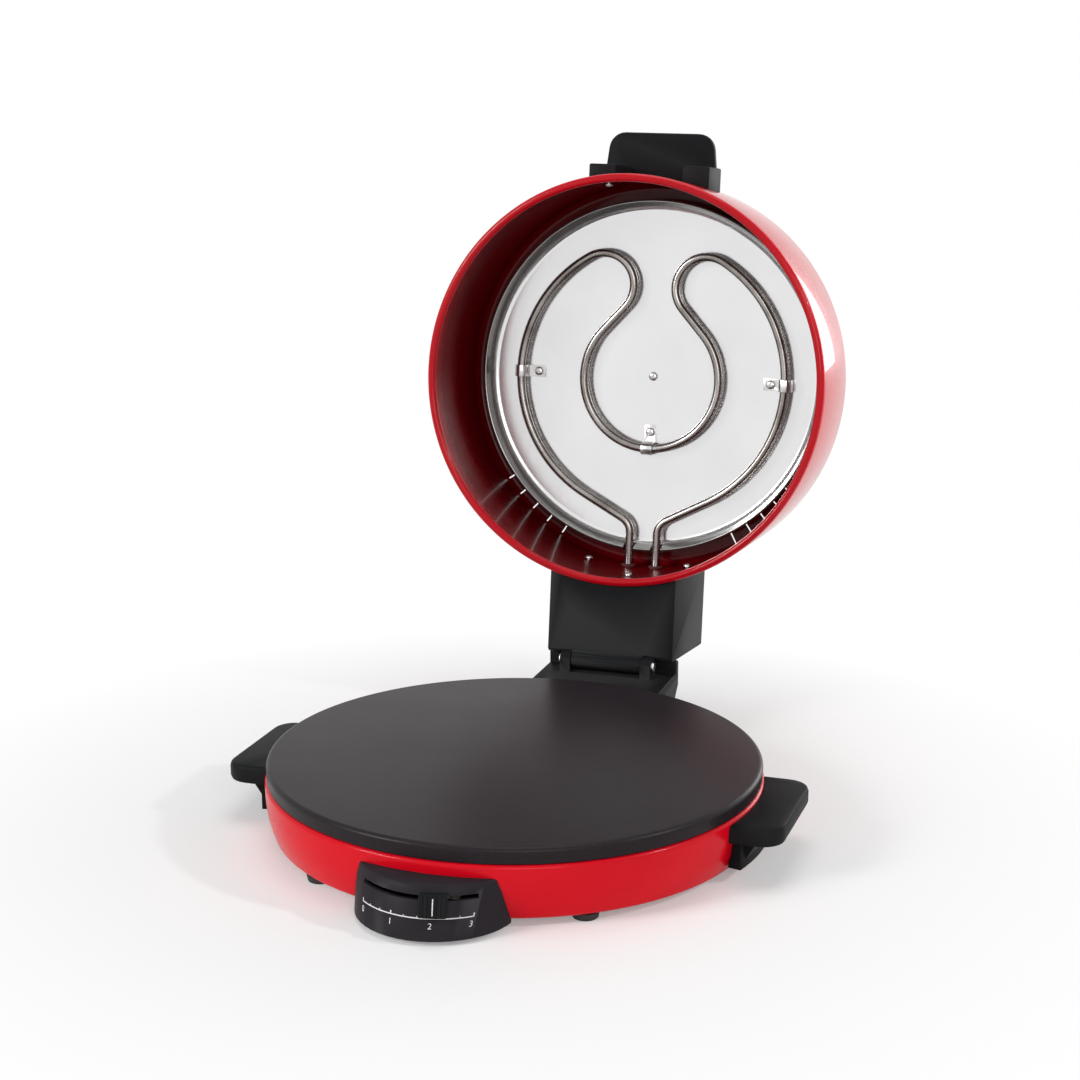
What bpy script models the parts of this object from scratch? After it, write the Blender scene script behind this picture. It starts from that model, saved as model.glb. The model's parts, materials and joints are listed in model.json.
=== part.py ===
"""Electric roti maker with its hood open: a countertop cooker with a hinged lid.

Metres, +Z up. The front, with the control panel, faces -Y. The hood is modelled in its own frame, shut, with
Z as the depth behind its rim, and the hinge empty then turns it open.
"""

import math

import bmesh
import bpy
from mathutils import Matrix, Vector

# Clearances, walls and counts that several pieces share.
GAP = 0.0003
STRAP_GAP = 0.0007
OVERRUN = 0.004
TURN = 2 * math.pi
QUARTER = math.pi / 2
LARGE_STEPS = 48
MIDDLE_STEPS = 20
SMALL_STEPS = 12
CORNER_STEPS = 2
SMOOTH_ANGLE = math.radians(35)
MERGE = 0.00001

# Base shell: a pressed ring with a turned-in lip and a bottom flange.
BASE_RADIUS = 0.166
BASE_TOP = 0.042
BASE_BOTTOM = 0.005
BASE_TAPER = 0.006
BASE_BOTTOM_RADIUS = BASE_RADIUS - BASE_TAPER
BASE_WALL = 0.0012
LIP_WIDTH = 0.0075
LIP_FILLET = 0.0025
FOOT_FILLET = 0.003
FLANGE_WIDTH = 0.014
# How far in from its top radius the wall stands, at each share of its height from the top.
WALL_BULGE_shares = ((0.35, 0.07), (0.65, 0.29), (0.85, 0.6))

# Hot plate.
PLATE_RISE = 0.011
PLATE_TOP = BASE_TOP + PLATE_RISE
PLATE_INSET = 0.0008
PLATE_RADIUS = BASE_RADIUS - PLATE_INSET
PLATE_THICKNESS = 0.006
PLATE_SHOULDER = 0.0035
PLATE_DRAFT = 0.0008
PLATE_SKIRT = 0.0045

# Lower heating element, its clamps, the heat shield and the stud that carries it.
LOWER_LOOP_INSET = 0.0602
LOWER_LOOP_RADIUS = PLATE_RADIUS - LOWER_LOOP_INSET
LOWER_TUBE = 0.0035
LOWER_END_ANGLE = math.radians(9)
LOWER_END_BEND = 0.008
LOWER_END_DROP = 0.012
CLAMP_COUNT = 3
CLAMP_FIRST_ANGLE = math.radians(270)
CLAMP_SHEET = 0.0008
CLAMP_WIDTH = 0.007
CLAMP_FOOT = 0.009
SHIELD_DROP = 0.012
SHIELD_HEIGHT = BASE_TOP - SHIELD_DROP
SHIELD_INSET = 0.010
SHIELD_RADIUS = BASE_BOTTOM_RADIUS - SHIELD_INSET
SHIELD_RIM = 0.008
SHIELD_FLARE = 0.010
SHIELD_SHEET = 0.0008
STUD_RADIUS = 0.004
STUD_COLLAR_RADIUS = 0.010
STUD_COLLAR_HEIGHT = 0.005

# Bottom cover, its screws and the feet.
COVER_INSET = 0.004
COVER_RADIUS = BASE_BOTTOM_RADIUS - COVER_INSET
COVER_SHEET = 0.0015
COVER_SLOTS = 10
COVER_SLOT_RADIUS = 0.085
COVER_SLOT_LENGTH = 0.030
COVER_SLOT_WIDTH = 0.004
COVER_SCREWS = 3
FOOT_RADIUS = 0.009
FOOT_TAPER = 0.001
FOOT_INSET = 0.0096
FOOT_ANGLE = math.radians(35.8)
FOOT_RING = BASE_BOTTOM_RADIUS - FOOT_INSET

# Control panel: a hollow leaning cone in front of the thermostat, cut by the base wall.
PIVOT_INSET = 0.035
PIVOT_Y = PIVOT_INSET - BASE_RADIUS
PANEL_DROP = 0.008
PANEL_TOP = BASE_TOP - PANEL_DROP
PANEL_BOTTOM = 0.003
PANEL_INSET = 0.0395
PANEL_TOP_Y = PANEL_INSET - BASE_RADIUS
PANEL_LEAN = 0.0175
PANEL_BOTTOM_Y = PANEL_TOP_Y - PANEL_LEAN
PANEL_TOP_RADIUS = 0.0555
PANEL_TAPER = 0.0045
PANEL_BOTTOM_RADIUS = PANEL_TOP_RADIUS - PANEL_TAPER
PANEL_WALL = 0.0025
PANEL_EDGE = 0.0012
SLOT_DROP = 0.0074
SLOT_HEIGHT = PANEL_TOP - SLOT_DROP
SLOT_WIDTH = 0.0028
SLOT_HALF_ANGLE = math.radians(43)

# Thermostat, its lever and the slider knob on the lever's end.
THERMOSTAT_WIDTH = 0.026
THERMOSTAT_LENGTH = 0.020
LEVER_RISE = 0.0026
THERMOSTAT_TOP = SLOT_HEIGHT - LEVER_RISE
SHAFT_RADIUS = 0.0022
LEVER_SHEET = 0.002
LEVER_HALF_WIDTH = 0.003
LEVER_HUB_RADIUS = 0.006
LEVER_GRIP = 0.0035
LEVER_REST = math.radians(14)
KNOB_BELOW = 0.009
KNOB_ABOVE = 0.004
KNOB_PROUD = 0.006
KNOB_HALF_ANGLE = math.radians(8.5)
KNOB_CLEARANCE = 0.001
WINDOW_HALF_WIDTH = 0.033
WINDOW_MARGIN = 0.003

# Side handles: a curved skirt on the base wall with a grip lug.
SKIRT_HALF_ANGLE = math.radians(14.8)
SKIRT_PROUD = 0.0055
SKIRT_OUTER = BASE_RADIUS + SKIRT_PROUD
SKIRT_TOP_DROP = 0.0015
SKIRT_BOTTOM_RISE = 0.001
GRIP_REACH = 0.026
GRIP_TIP = BASE_RADIUS + GRIP_REACH
GRIP_HALF_LENGTH = 0.048
GRIP_CORNER = 0.015
GRIP_CORNER_STEPS = 6
GRIP_DROP = 0.002
GRIP_THICKNESS = 0.013
GRIP_EDGE = 0.003
GUSSET_HALF_ANGLE = math.radians(12.5)
GUSSET_PROUD = 0.017
GUSSET_REACH = BASE_RADIUS + GUSSET_PROUD
HANDLE_SCREW_INSET = 0.015
HANDLE_SCREW_Y = GRIP_HALF_LENGTH - HANDLE_SCREW_INSET
HANDLE_SCREW_GRIP = 0.003

# Hinge: bracket on the base, ears, pin and the stop that the open hood leans on.
RIM_GAP = 0.0005
HINGE_BEHIND = 0.045
HINGE_Y = BASE_RADIUS + HINGE_BEHIND
PIN_DROP = 0.0007
HINGE_Z = PLATE_TOP + RIM_GAP - PIN_DROP
OPEN_ANGLE = math.radians(97.1)
BRACKET_HALF_WIDTH = 0.050
BRACKET_BEHIND = 0.0216
BRACKET_BACK = HINGE_Y + BRACKET_BEHIND
PIN_RISE = 0.0083
BRACKET_TOP = HINGE_Z - PIN_RISE
BRACKET_RISE = 0.009
BRACKET_BOTTOM = BASE_BOTTOM + BRACKET_RISE
BRACKET_WALL = 0.004
BRACKET_SLOPE = 0.020
STOP_DEPTH = 0.008
EAR_RADIUS = 0.007
EAR_WIDTH = 0.008
EAR_CLEARANCE = 0.0008
PIN_RADIUS = 0.0025
PIN_HEAD_RADIUS = 0.004
PIN_HEAD = 0.0015
KNUCKLE_RADIUS = 0.006
KNUCKLE_INSET = 0.023
KNUCKLE_HALF_WIDTH = BRACKET_HALF_WIDTH - KNUCKLE_INSET
BRACKET_SCREW_INSET = 0.014
BRACKET_SCREW_X = BRACKET_HALF_WIDTH - BRACKET_SCREW_INSET

# Cord gland and terminal block.
GLAND_ANGLE = math.radians(55)
GLAND_RADIUS = 0.007
GLAND_BORE = 0.0038
GLAND_LENGTH = 0.014
GLAND_COLLAR = 0.003
BLOCK_WIDTH = 0.034
BLOCK_LENGTH = 0.016
BLOCK_HEIGHT = 0.012
BLOCK_INSET = 0.042
BLOCK_Y = BASE_RADIUS - BLOCK_INSET

# Hood shell, in its own frame.
HOOD_INSET = 0.013
HOOD_RADIUS = BASE_RADIUS - HOOD_INSET
HOOD_TAPER = 0.0025
HOOD_TOP_RADIUS = HOOD_RADIUS - HOOD_TAPER
HOOD_DEPTH = 0.103
HOOD_CORNER = 0.007
HOOD_SHEET = 0.001
RIM_ROLL = 0.003
RIM_ROLL_ANGLES = (150, 195, 240, 285, 325, 360)
VENT_COUNT = 5
VENT_FIRST_ANGLE = math.radians(29)
VENT_STEP = math.radians(6)
VENT_EDGE = 0.0075
VENT_LENGTH = 0.016
VENT_OUTER = HOOD_TOP_RADIUS - VENT_EDGE
VENT_INNER = VENT_OUTER - VENT_LENGTH
VENT_WIDTH = 0.0024

# Reflector tray, spacers and the screw sizes of the hood.
TRAY_CLEARANCE = 0.016
TRAY_RADIUS = HOOD_TOP_RADIUS - TRAY_CLEARANCE
TRAY_STANDOFF = 0.0104
TRAY_RISE = 0.0126
TRAY_FLOOR_DEPTH = HOOD_DEPTH - TRAY_STANDOFF
TRAY_LIP_DEPTH = TRAY_FLOOR_DEPTH - TRAY_RISE
TRAY_DRAFT = 0.0045
TRAY_FLOOR_RADIUS = TRAY_RADIUS - TRAY_DRAFT
TRAY_CORNER = 0.004
TRAY_CURL = 0.0018
TRAY_SHEET = 0.0008
SPACER_RADIUS = 0.004
SCREW_RADIUS = 0.0016
SCREW_HEAD_RADIUS = 0.0034
SCREW_HEAD = 0.0018

# Upper heating element.
UPPER_TUBE = 0.0033
UPPER_STANDOFF = 0.008
UPPER_DEPTH = TRAY_FLOOR_DEPTH - UPPER_STANDOFF
OUTER_ARC_INSET = 0.024
OUTER_ARC = TRAY_FLOOR_RADIUS - OUTER_ARC_INSET
OUTER_ARC_Y = 0.001
ARC_SPREAD = 0.052
INNER_ARC = OUTER_ARC - ARC_SPREAD
INNER_ARC_Y = 0.002
LOOP_X = 0.041
LOOP_ARC = 0.0244
LEG_X = 0.011
LEG_BEND = 0.013
LEG_BEND_REACH = 0.017
LEG_BEND_Y = OUTER_ARC + LEG_BEND_REACH
LEG_PROUD = 0.015
LEG_END = HOOD_RADIUS + LEG_PROUD
ARC_POINT_SPACING = 0.007
CLIP_SHEET = 0.0008
CLIP_WIDTH = 0.009
CLIP_FOOT = 0.018
CLIP_SCREW = 0.0125
BUSHING_RADIUS = 0.0048
BUSHING_FLANGE = 0.0064
BUSHING_FLANGE_WIDTH = 0.0012
BUSHING_LENGTH = 0.013

# Terminal box on the drum, behind the hinge side.
BOX_SIDE_CLEARANCE = 0.001
BOX_HALF_WIDTH = BRACKET_HALF_WIDTH - BOX_SIDE_CLEARANCE
PIN_PROUD = 0.0035
BOX_BACK = HINGE_Y - PIN_PROUD
BOX_NEAR = 0.004
BOX_TOP_INSET = 0.010
BOX_FAR = HOOD_DEPTH - BOX_TOP_INSET
BOX_WALL = 0.0025
BOX_CHAMFER = 0.002
BOX_EDGE = 0.001
BOSS_RADIUS = 0.0045
BOX_SCREW_INSET = 0.009
BOX_SCREW_X = BOX_HALF_WIDTH - BOX_SCREW_INSET
BOX_SCREW_DROP = 0.021
BOX_SCREW_DEPTH = BOX_FAR - BOX_SCREW_DROP
BOX_MIDDLE_SCREW_RISE = 0.043
BOX_MIDDLE_SCREW_DEPTH = BOX_NEAR + BOX_MIDDLE_SCREW_RISE

# Lid handle: two feet on the drum that carry a flap.
HANDLE_FOOT_OUTER = 0.047
HANDLE_FOOT_WIDTH = 0.021
HANDLE_FOOT_INNER = HANDLE_FOOT_OUTER - HANDLE_FOOT_WIDTH
HANDLE_FOOT_PROUD = 0.008
HANDLE_FOOT_RISE = HOOD_RADIUS + HANDLE_FOOT_PROUD
FLAP_REACH = 0.0335
FLAP_TIP = HOOD_RADIUS + FLAP_REACH
FLAP_NARROWING = 0.0065
FLAP_ROOT_HALF = HANDLE_FOOT_OUTER
FLAP_TIP_HALF = FLAP_ROOT_HALF - FLAP_NARROWING
FLAP_CORNER = 0.013
FLAP_DROP = 0.019
FLAP_NEAR = HOOD_DEPTH - FLAP_DROP
FLAP_THICKNESS = 0.008
FLAP_EDGE = 0.0025
HANDLE_FOOT_LENGTH = 0.032
HANDLE_FOOT_NEAR = FLAP_NEAR - HANDLE_FOOT_LENGTH
HANDLE_SCREW_SIDE = 0.007
HANDLE_SCREW_X = HANDLE_FOOT_INNER + HANDLE_SCREW_SIDE
HANDLE_SCREW_RISE = 0.0075
HANDLE_SCREW_DEPTH = HANDLE_FOOT_NEAR + HANDLE_SCREW_RISE
HANDLE_SCREW_LENGTH = 0.007

# Colours (linear), roughness and metallic value of each finish.
FINISHES = {
    "red_paint": ((0.62, 0.008, 0.018), 0.22, 0.0),
    "nonstick": ((0.035, 0.03, 0.033), 0.45, 0.0),
    "black_plastic": ((0.03, 0.03, 0.032), 0.4, 0.0),
    "aluminium": ((0.78, 0.79, 0.8), 0.3, 1.0),
    "steel": ((0.5, 0.5, 0.5), 0.3, 1.0),
    "element_steel": ((0.33, 0.31, 0.29), 0.35, 1.0),
    "zinc": ((0.42, 0.43, 0.44), 0.45, 1.0),
    "rubber": ((0.02, 0.02, 0.02), 0.8, 0.0),
    "ceramic": ((0.75, 0.73, 0.68), 0.5, 0.0),
    "black_steel": ((0.03, 0.03, 0.03), 0.5, 0.0),
}


def on_circle(radius, angle):
    """Point at this angle from +Y towards +X."""
    return Vector((radius * math.sin(angle), radius * math.cos(angle)))


def arc(centre, radius, start, end, steps):
    """Points from one angle to the other, both from +Y towards +X, ends included."""
    return [Vector(centre) + on_circle(radius, start + (end - start) * i / steps) for i in range(steps + 1)]


def rounded(corners, steps=CORNER_STEPS):
    """Outline through corners given as (x, y, radius), each an arc where its radius isn't zero."""
    points = []
    for i, (x, y, radius) in enumerate(corners):
        here = Vector((x, y))
        if not radius:
            points.append(here)
            continue
        back = (Vector(corners[i - 1][:2]) - here).normalized()
        ahead = (Vector(corners[(i + 1) % len(corners)][:2]) - here).normalized()
        half = back.angle(ahead) / 2
        centre = here + (back + ahead).normalized() * radius / math.sin(half)
        first = here + back * radius / math.tan(half) - centre
        last = here + ahead * radius / math.tan(half) - centre
        sweep = first.angle_signed(last)
        for j in range(steps + 1):
            points.append(centre + Matrix.Rotation(-sweep * j / steps, 2) @ first)
    return points


def sheet(path, wall):
    """Closed profile of a bent sheet: the path is one face, and the other lies to the left of travel."""
    path = [Vector(point) for point in path]
    other = []
    for i, point in enumerate(path):
        before = (point - path[i - 1]).normalized() if i else (path[1] - point).normalized()
        after = (path[i + 1] - point).normalized() if i + 1 < len(path) else before
        side = Vector((-before.y, before.x)) + Vector((-after.y, after.x))
        side.normalize()
        other.append(point + side * wall / side.dot(Vector((-after.y, after.x))))
    return path + other[::-1]


def spin_profile(bm, profile, centre=(0, 0), steps=LARGE_STEPS, half_angle=None, middle=0, ring=True):
    """Turns a profile of (radius, z) about an upright line, all round or to each side of an angle.

    A ring's profile closes on itself; any other starts and ends on the axis.
    """
    start = middle - half_angle if half_angle else 0
    sweep = 2 * half_angle if half_angle else TURN
    place = Matrix.Translation((*centre, 0)) @ Matrix.Rotation(start - QUARTER, 4, "Z")
    points = [bm.verts.new(place @ Vector((radius, 0, z))) for radius, z in profile]
    pairs = list(zip(points, points[1:])) + ([(points[-1], points[0])] if ring else [])
    edges = [bm.edges.new(pair) for pair in pairs]
    bmesh.ops.spin(
        bm,
        geom=points + edges,
        cent=(*centre, 0),
        axis=(0, 0, 1),
        angle=sweep,
        steps=steps,
        use_merge=not half_angle,
    )
    bmesh.ops.remove_doubles(bm, verts=bm.verts[:], dist=MERGE)
    if half_angle:
        open_edges = [edge for edge in bm.edges if edge.is_boundary]
        bmesh.ops.holes_fill(bm, edges=open_edges, sides=0)


def raise_outline(bm, outline, low, high, to_world=Matrix()):
    """Extrudes an outline from one height to another, then places it."""
    face = bm.faces.new([bm.verts.new(to_world @ Vector((x, y, low))) for x, y in outline])
    lifted = bmesh.ops.extrude_face_region(bm, geom=[face])["geom"]
    along = to_world.to_3x3() @ Vector((0, 0, high - low))
    bmesh.ops.translate(bm, vec=along, verts=[v for v in lifted if isinstance(v, bmesh.types.BMVert)])


def add_block(bm, low, high):
    """An upright block between two corners."""
    size = Vector(high) - Vector(low)
    middle = (Vector(high) + Vector(low)) / 2
    place = Matrix.Translation(middle) @ Matrix.Diagonal((*size, 1))
    bmesh.ops.create_cube(bm, size=1, matrix=place)


def along(point, direction):
    """Matrix that puts local +Z along a direction from a point."""
    return Matrix.Translation(point) @ Vector(direction).to_track_quat("Z", "Y").to_matrix().to_4x4()


def add_rod(bm, place, start, end, radius, steps=SMALL_STEPS):
    """A round bar along local Z."""
    matrix = place @ Matrix.Translation((0, 0, (start + end) / 2))
    bmesh.ops.create_cone(
        bm, cap_ends=True, segments=steps, radius1=radius, radius2=radius, depth=end - start, matrix=matrix
    )


def new_object(name, data, parent):
    thing = bpy.data.objects.new(name, data)
    bpy.context.scene.collection.objects.link(thing)
    thing.parent = parent
    return thing


def piece(name, bm, finish, parent, location=(0, 0, 0)):
    """Turns a bmesh into a named sub-part with its own material."""
    bmesh.ops.recalc_face_normals(bm, faces=bm.faces[:])
    mesh = bpy.data.meshes.new(name)
    bm.to_mesh(mesh)
    bm.free()
    mesh.shade_smooth()
    mesh.set_sharp_from_angle(angle=SMOOTH_ANGLE)
    mesh.materials.append(material(name, finish))
    thing = new_object(name, mesh, parent)
    thing.location = location
    return thing


def material(name, finish):
    colour, roughness, metallic = FINISHES[finish]
    paint = bpy.data.materials.new(name + "_" + finish)
    paint.use_nodes = True
    shader = paint.node_tree.nodes["Principled BSDF"]
    shader.inputs["Base Color"].default_value = (*colour, 1)
    shader.inputs["Roughness"].default_value = roughness
    shader.inputs["Metallic"].default_value = metallic
    paint.diffuse_color = (*colour, 1)
    return paint


def combine(target, bm, operation="DIFFERENCE", location=None):
    """Cuts a shape from a sub-part, or joins it on, with a Boolean whose helper isn't rendered."""
    bmesh.ops.recalc_face_normals(bm, faces=bm.faces[:])
    mesh = bpy.data.meshes.new(target.name + "_tool")
    bm.to_mesh(mesh)
    bm.free()
    tool = new_object(mesh.name, mesh, target.parent)
    tool.location = target.location if location is None else location
    tool.hide_render = True
    tool.display_type = "WIRE"
    change = target.modifiers.new(operation.title(), "BOOLEAN")
    change.operation = operation
    change.solver = "EXACT"
    change.object = tool
    return tool


def soften(target, width, segments=2):
    """Rounds the sharp edges of a sub-part."""
    edge = target.modifiers.new("Edge", "BEVEL")
    edge.width = width
    edge.segments = segments
    edge.limit_method = "ANGLE"
    edge.angle_limit = SMOOTH_ANGLE


def tube(name, points, radius, finish, parent, location=(0, 0, 0)):
    """A round tube along a line of points, with closed ends."""
    data = bpy.data.curves.new(name, "CURVE")
    data.dimensions = "3D"
    data.bevel_depth = radius
    data.bevel_resolution = 2
    data.use_fill_caps = True
    spline = data.splines.new("POLY")
    spline.points.add(len(points) - 1)
    for spot, point in zip(spline.points, points):
        spot.co = (*point, 1)
    data.materials.append(material(name, finish))
    thing = new_object(name, data, parent)
    thing.location = location
    return thing


def screw(name, point, direction, length, finish, parent, location=(0, 0, 0)):
    """A dome-headed screw: its shank runs from the point along a direction, its head lies behind."""
    bm = bmesh.new()
    turns = [QUARTER * i / 2 for i in range(3)]
    dome = [(SCREW_HEAD_RADIUS * math.cos(turn), -SCREW_HEAD * math.sin(turn)) for turn in turns]
    profile = [(0, length), (SCREW_RADIUS, length), (SCREW_RADIUS, 0)] + dome[:-1] + [(0, -SCREW_HEAD)]
    spin_profile(bm, profile, steps=SMALL_STEPS, ring=False)
    bmesh.ops.transform(bm, matrix=along(point, direction), verts=bm.verts[:])
    return piece(name, bm, finish, parent, location)


def add_screw_hole(bm, point, direction, depth):
    """The clearance hole of a screw, from behind its point to past its end."""
    add_rod(bm, along(point, direction), -OVERRUN, depth, SCREW_RADIUS + GAP)


def hat_strap(surface, tube_radius, tube_drop, foot, width, thickness, angle, centre):
    """A strap that holds a tube under a surface: its long foot, for the screw, points at -X at first."""
    reach = tube_radius + STRAP_GAP + thickness
    wrap = [
        (reach * math.cos(math.pi - math.pi * i / 6), surface - tube_drop - reach * math.sin(math.pi * i / 6))
        for i in range(7)
    ]
    inner = [
        (
            (reach - thickness) * math.cos(math.pi * i / 6),
            surface - tube_drop - (reach - thickness) * math.sin(math.pi * i / 6),
        )
        for i in range(7)
    ]
    seat = surface - GAP
    outline = [(-foot, seat), (-foot, seat - thickness), (-reach, seat - thickness)]
    outline += wrap + [(reach, seat), (reach - thickness, seat)] + inner + [(thickness - reach, seat)]
    bm = bmesh.new()
    upright = Matrix.Rotation(QUARTER, 4, "X")
    raise_outline(bm, outline, -width / 2, width / 2, upright)
    bmesh.ops.transform(bm, matrix=Matrix.Rotation(angle, 4, "Z"), verts=bm.verts[:])
    bmesh.ops.translate(bm, vec=(*centre, 0), verts=bm.verts[:])
    return bm


def base_wall_path():
    """Outer face of the base shell from its lip to its bottom flange, as (radius, z)."""
    height = BASE_TOP - BASE_BOTTOM
    inset = BASE_RADIUS - BASE_BOTTOM_RADIUS
    corners = [(BASE_RADIUS - LIP_WIDTH, BASE_TOP, 0), (BASE_RADIUS, BASE_TOP, LIP_FILLET)]
    for down, inward in WALL_BULGE_shares:
        corners.append((BASE_RADIUS - inset * inward, BASE_TOP - height * down, 0))
    corners += [(BASE_BOTTOM_RADIUS, BASE_BOTTOM, FOOT_FILLET)]
    corners += [(BASE_BOTTOM_RADIUS - FLANGE_WIDTH, BASE_BOTTOM, 0)]
    return rounded(corners)


def wall_radius(height):
    """Outer radius of the base shell at a height."""
    path = base_wall_path()
    for (r1, z1), (r2, z2) in zip(path, path[1:]):
        if z2 <= height <= z1 and z1 > z2:
            return r1 + (r2 - r1) * (z1 - height) / (z1 - z2)
    return BASE_RADIUS


def base_form(clearance):
    """The space that the base shell takes up, with a clearance round it, open below its bottom edge."""
    wall = [(point.x + clearance, point.y) for point in base_wall_path()[CORNER_STEPS + 1:-2]]
    low = wall[-1][0]
    bm = bmesh.new()
    top = PLATE_TOP
    profile = [(0, top), (wall[0][0], top)] + wall + [(low, -OVERRUN), (0, -OVERRUN)]
    spin_profile(bm, profile, ring=False)
    return bm


def hood_radius(depth):
    """Outer radius of the drum at a depth behind its rim."""
    share = (depth - RIM_ROLL) / (HOOD_DEPTH - HOOD_CORNER - RIM_ROLL)
    return HOOD_RADIUS + (HOOD_TOP_RADIUS - HOOD_RADIUS) * share


def hood_path():
    """Outer face of the hood from its rolled rim's end to the middle of its top, as (radius, depth)."""
    middle = HOOD_RADIUS - RIM_ROLL
    turns = [math.radians(angle) for angle in RIM_ROLL_ANGLES]
    roll = [(middle + RIM_ROLL * math.cos(turn), RIM_ROLL + RIM_ROLL * math.sin(turn)) for turn in turns]
    wall = hood_radius(HOOD_DEPTH - HOOD_CORNER)
    corner = rounded([(wall, 0, 0), (HOOD_TOP_RADIUS, HOOD_DEPTH, HOOD_CORNER), (0, HOOD_DEPTH, 0)])
    return roll + [tuple(point) for point in corner[1:-1]] + [(0, HOOD_DEPTH)]


def hood_form(clearance):
    """The space that the drum takes up, with a clearance round it."""
    bm = bmesh.new()
    low = -OVERRUN
    high = HOOD_DEPTH + OVERRUN
    wide, narrow = hood_radius(low) + clearance, hood_radius(high) + clearance
    profile = [(0, high), (narrow, high), (wide, low), (0, low)]
    spin_profile(bm, profile, ring=False)
    return bm


def cone_radius(height):
    """Radius of the control panel's face at a height."""
    share = (PANEL_TOP - height) / (PANEL_TOP - PANEL_BOTTOM)
    return PANEL_TOP_RADIUS + (PANEL_BOTTOM_RADIUS - PANEL_TOP_RADIUS) * share


def face_reach(height):
    """How far the panel's face is from the lever's pivot, straight ahead, at a height."""
    share = (PANEL_TOP - height) / (PANEL_TOP - PANEL_BOTTOM)
    middle = PANEL_TOP_Y + (PANEL_BOTTOM_Y - PANEL_TOP_Y) * share
    return PIVOT_Y - middle + cone_radius(height)


def lean(bm):
    """Leans a straight cone forward, as the panel does: its top stays where it is."""
    slope = (PANEL_TOP_Y - PANEL_BOTTOM_Y) / (PANEL_TOP - PANEL_BOTTOM)
    shear = Matrix(((1, 0, 0, 0), (0, 1, slope, -slope * PANEL_TOP), (0, 0, 1, 0), (0, 0, 0, 1)))
    bmesh.ops.transform(bm, matrix=shear, verts=bm.verts[:])


def cover_screw_places():
    """Where the bottom cover's screws go through the base flange."""
    radius = BASE_BOTTOM_RADIUS - FLANGE_WIDTH / 2
    return [on_circle(radius, TURN * (i + 0.5) / COVER_SCREWS) for i in range(COVER_SCREWS)]


def handle_screw_point(side, y):
    """Where a side handle's screw starts, on the inner face of the base wall."""
    height = BASE_TOP - SKIRT_TOP_DROP - GRIP_DROP - GRIP_THICKNESS / 2
    radius = wall_radius(height) - BASE_WALL - GAP
    reach = SCREW_HEAD_RADIUS + abs(y)
    return (side * math.sqrt(radius * radius - reach * reach), y, height)


def bracket_screw_point(side):
    """Where a hinge bracket's screw starts, on the inner face of the base wall."""
    height = (BRACKET_TOP + BRACKET_BOTTOM) / 2
    radius = wall_radius(height) - BASE_WALL - GAP
    reach = BRACKET_SCREW_X + SCREW_HEAD_RADIUS
    return (side * BRACKET_SCREW_X, math.sqrt(radius * radius - reach * reach), height)


def gland_point():
    height = (BASE_TOP + BASE_BOTTOM) / 2
    place = on_circle(wall_radius(height), QUARTER - GLAND_ANGLE)
    return Vector((place.x, place.y, height))


def make_base_shell(base):
    bm = bmesh.new()
    spin_profile(bm, sheet(base_wall_path(), -BASE_WALL))
    shell = piece("base_shell", bm, "red_paint", base)
    cuts = bmesh.new()
    add_block(
        cuts,
        (-WINDOW_HALF_WIDTH, -BASE_RADIUS - OVERRUN, SLOT_HEIGHT - SLOT_WIDTH / 2 - WINDOW_MARGIN),
        (WINDOW_HALF_WIDTH, PIVOT_Y, SLOT_HEIGHT + SLOT_WIDTH / 2 + WINDOW_MARGIN),
    )
    for side in (-1, 1):
        for y in (-HANDLE_SCREW_Y, HANDLE_SCREW_Y):
            add_screw_hole(cuts, handle_screw_point(side, y), (side, 0, 0), OVERRUN * 2)
        add_screw_hole(cuts, bracket_screw_point(side), (0, 1, 0), OVERRUN * 2)
    for place in cover_screw_places():
        add_screw_hole(cuts, (place.x, place.y, BASE_BOTTOM), (0, 0, 1), OVERRUN)
    point = gland_point()
    out = Vector((point.x, point.y, 0))
    add_rod(cuts, along(point, out), -OVERRUN, OVERRUN, GLAND_RADIUS - GLAND_COLLAR + GAP)
    combine(shell, cuts)


def make_bottom_cover(base):
    low = BASE_BOTTOM + BASE_WALL + GAP
    bm = bmesh.new()
    profile = [(0, low + COVER_SHEET), (COVER_RADIUS, low + COVER_SHEET), (COVER_RADIUS, low), (0, low)]
    spin_profile(bm, profile, ring=False)
    cover = piece("bottom_cover", bm, "black_steel", base)
    cuts = bmesh.new()
    for i in range(COVER_SLOTS):
        slot = bmesh.new()
        add_block(
            slot,
            (-COVER_SLOT_WIDTH / 2, COVER_SLOT_RADIUS, low - OVERRUN),
            (COVER_SLOT_WIDTH / 2, COVER_SLOT_RADIUS + COVER_SLOT_LENGTH, low + OVERRUN),
        )
        turn = Matrix.Rotation(TURN * i / COVER_SLOTS, 4, "Z")
        bmesh.ops.transform(slot, matrix=turn, verts=slot.verts[:])
        mesh = bpy.data.meshes.new("slot")
        slot.to_mesh(mesh)
        slot.free()
        cuts.from_mesh(mesh)
        bpy.data.meshes.remove(mesh)
    for place in cover_screw_places():
        add_screw_hole(cuts, (place.x, place.y, BASE_BOTTOM), (0, 0, 1), OVERRUN)
    combine(cover, cuts)
    for i, place in enumerate(cover_screw_places()):
        point = (place.x, place.y, BASE_BOTTOM - GAP)
        length = BASE_WALL + COVER_SHEET + GAP * 2
        screw("cover_screw_" + str(i + 1), point, (0, 0, 1), length, "zinc", base)


def make_feet(base):
    spot = on_circle(FOOT_RING, FOOT_ANGLE)
    for end, y in (("front", -spot.y), ("rear", spot.y)):
        for side, x in (("left", -spot.x), ("right", spot.x)):
            bm = bmesh.new()
            top = BASE_BOTTOM - GAP
            profile = [(0, top), (FOOT_RADIUS, top), (FOOT_RADIUS - FOOT_TAPER, 0), (0, 0)]
            spin_profile(bm, profile, steps=MIDDLE_STEPS, ring=False)
            piece("foot_" + end + "_" + side, bm, "rubber", base, (x, y, 0))


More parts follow.
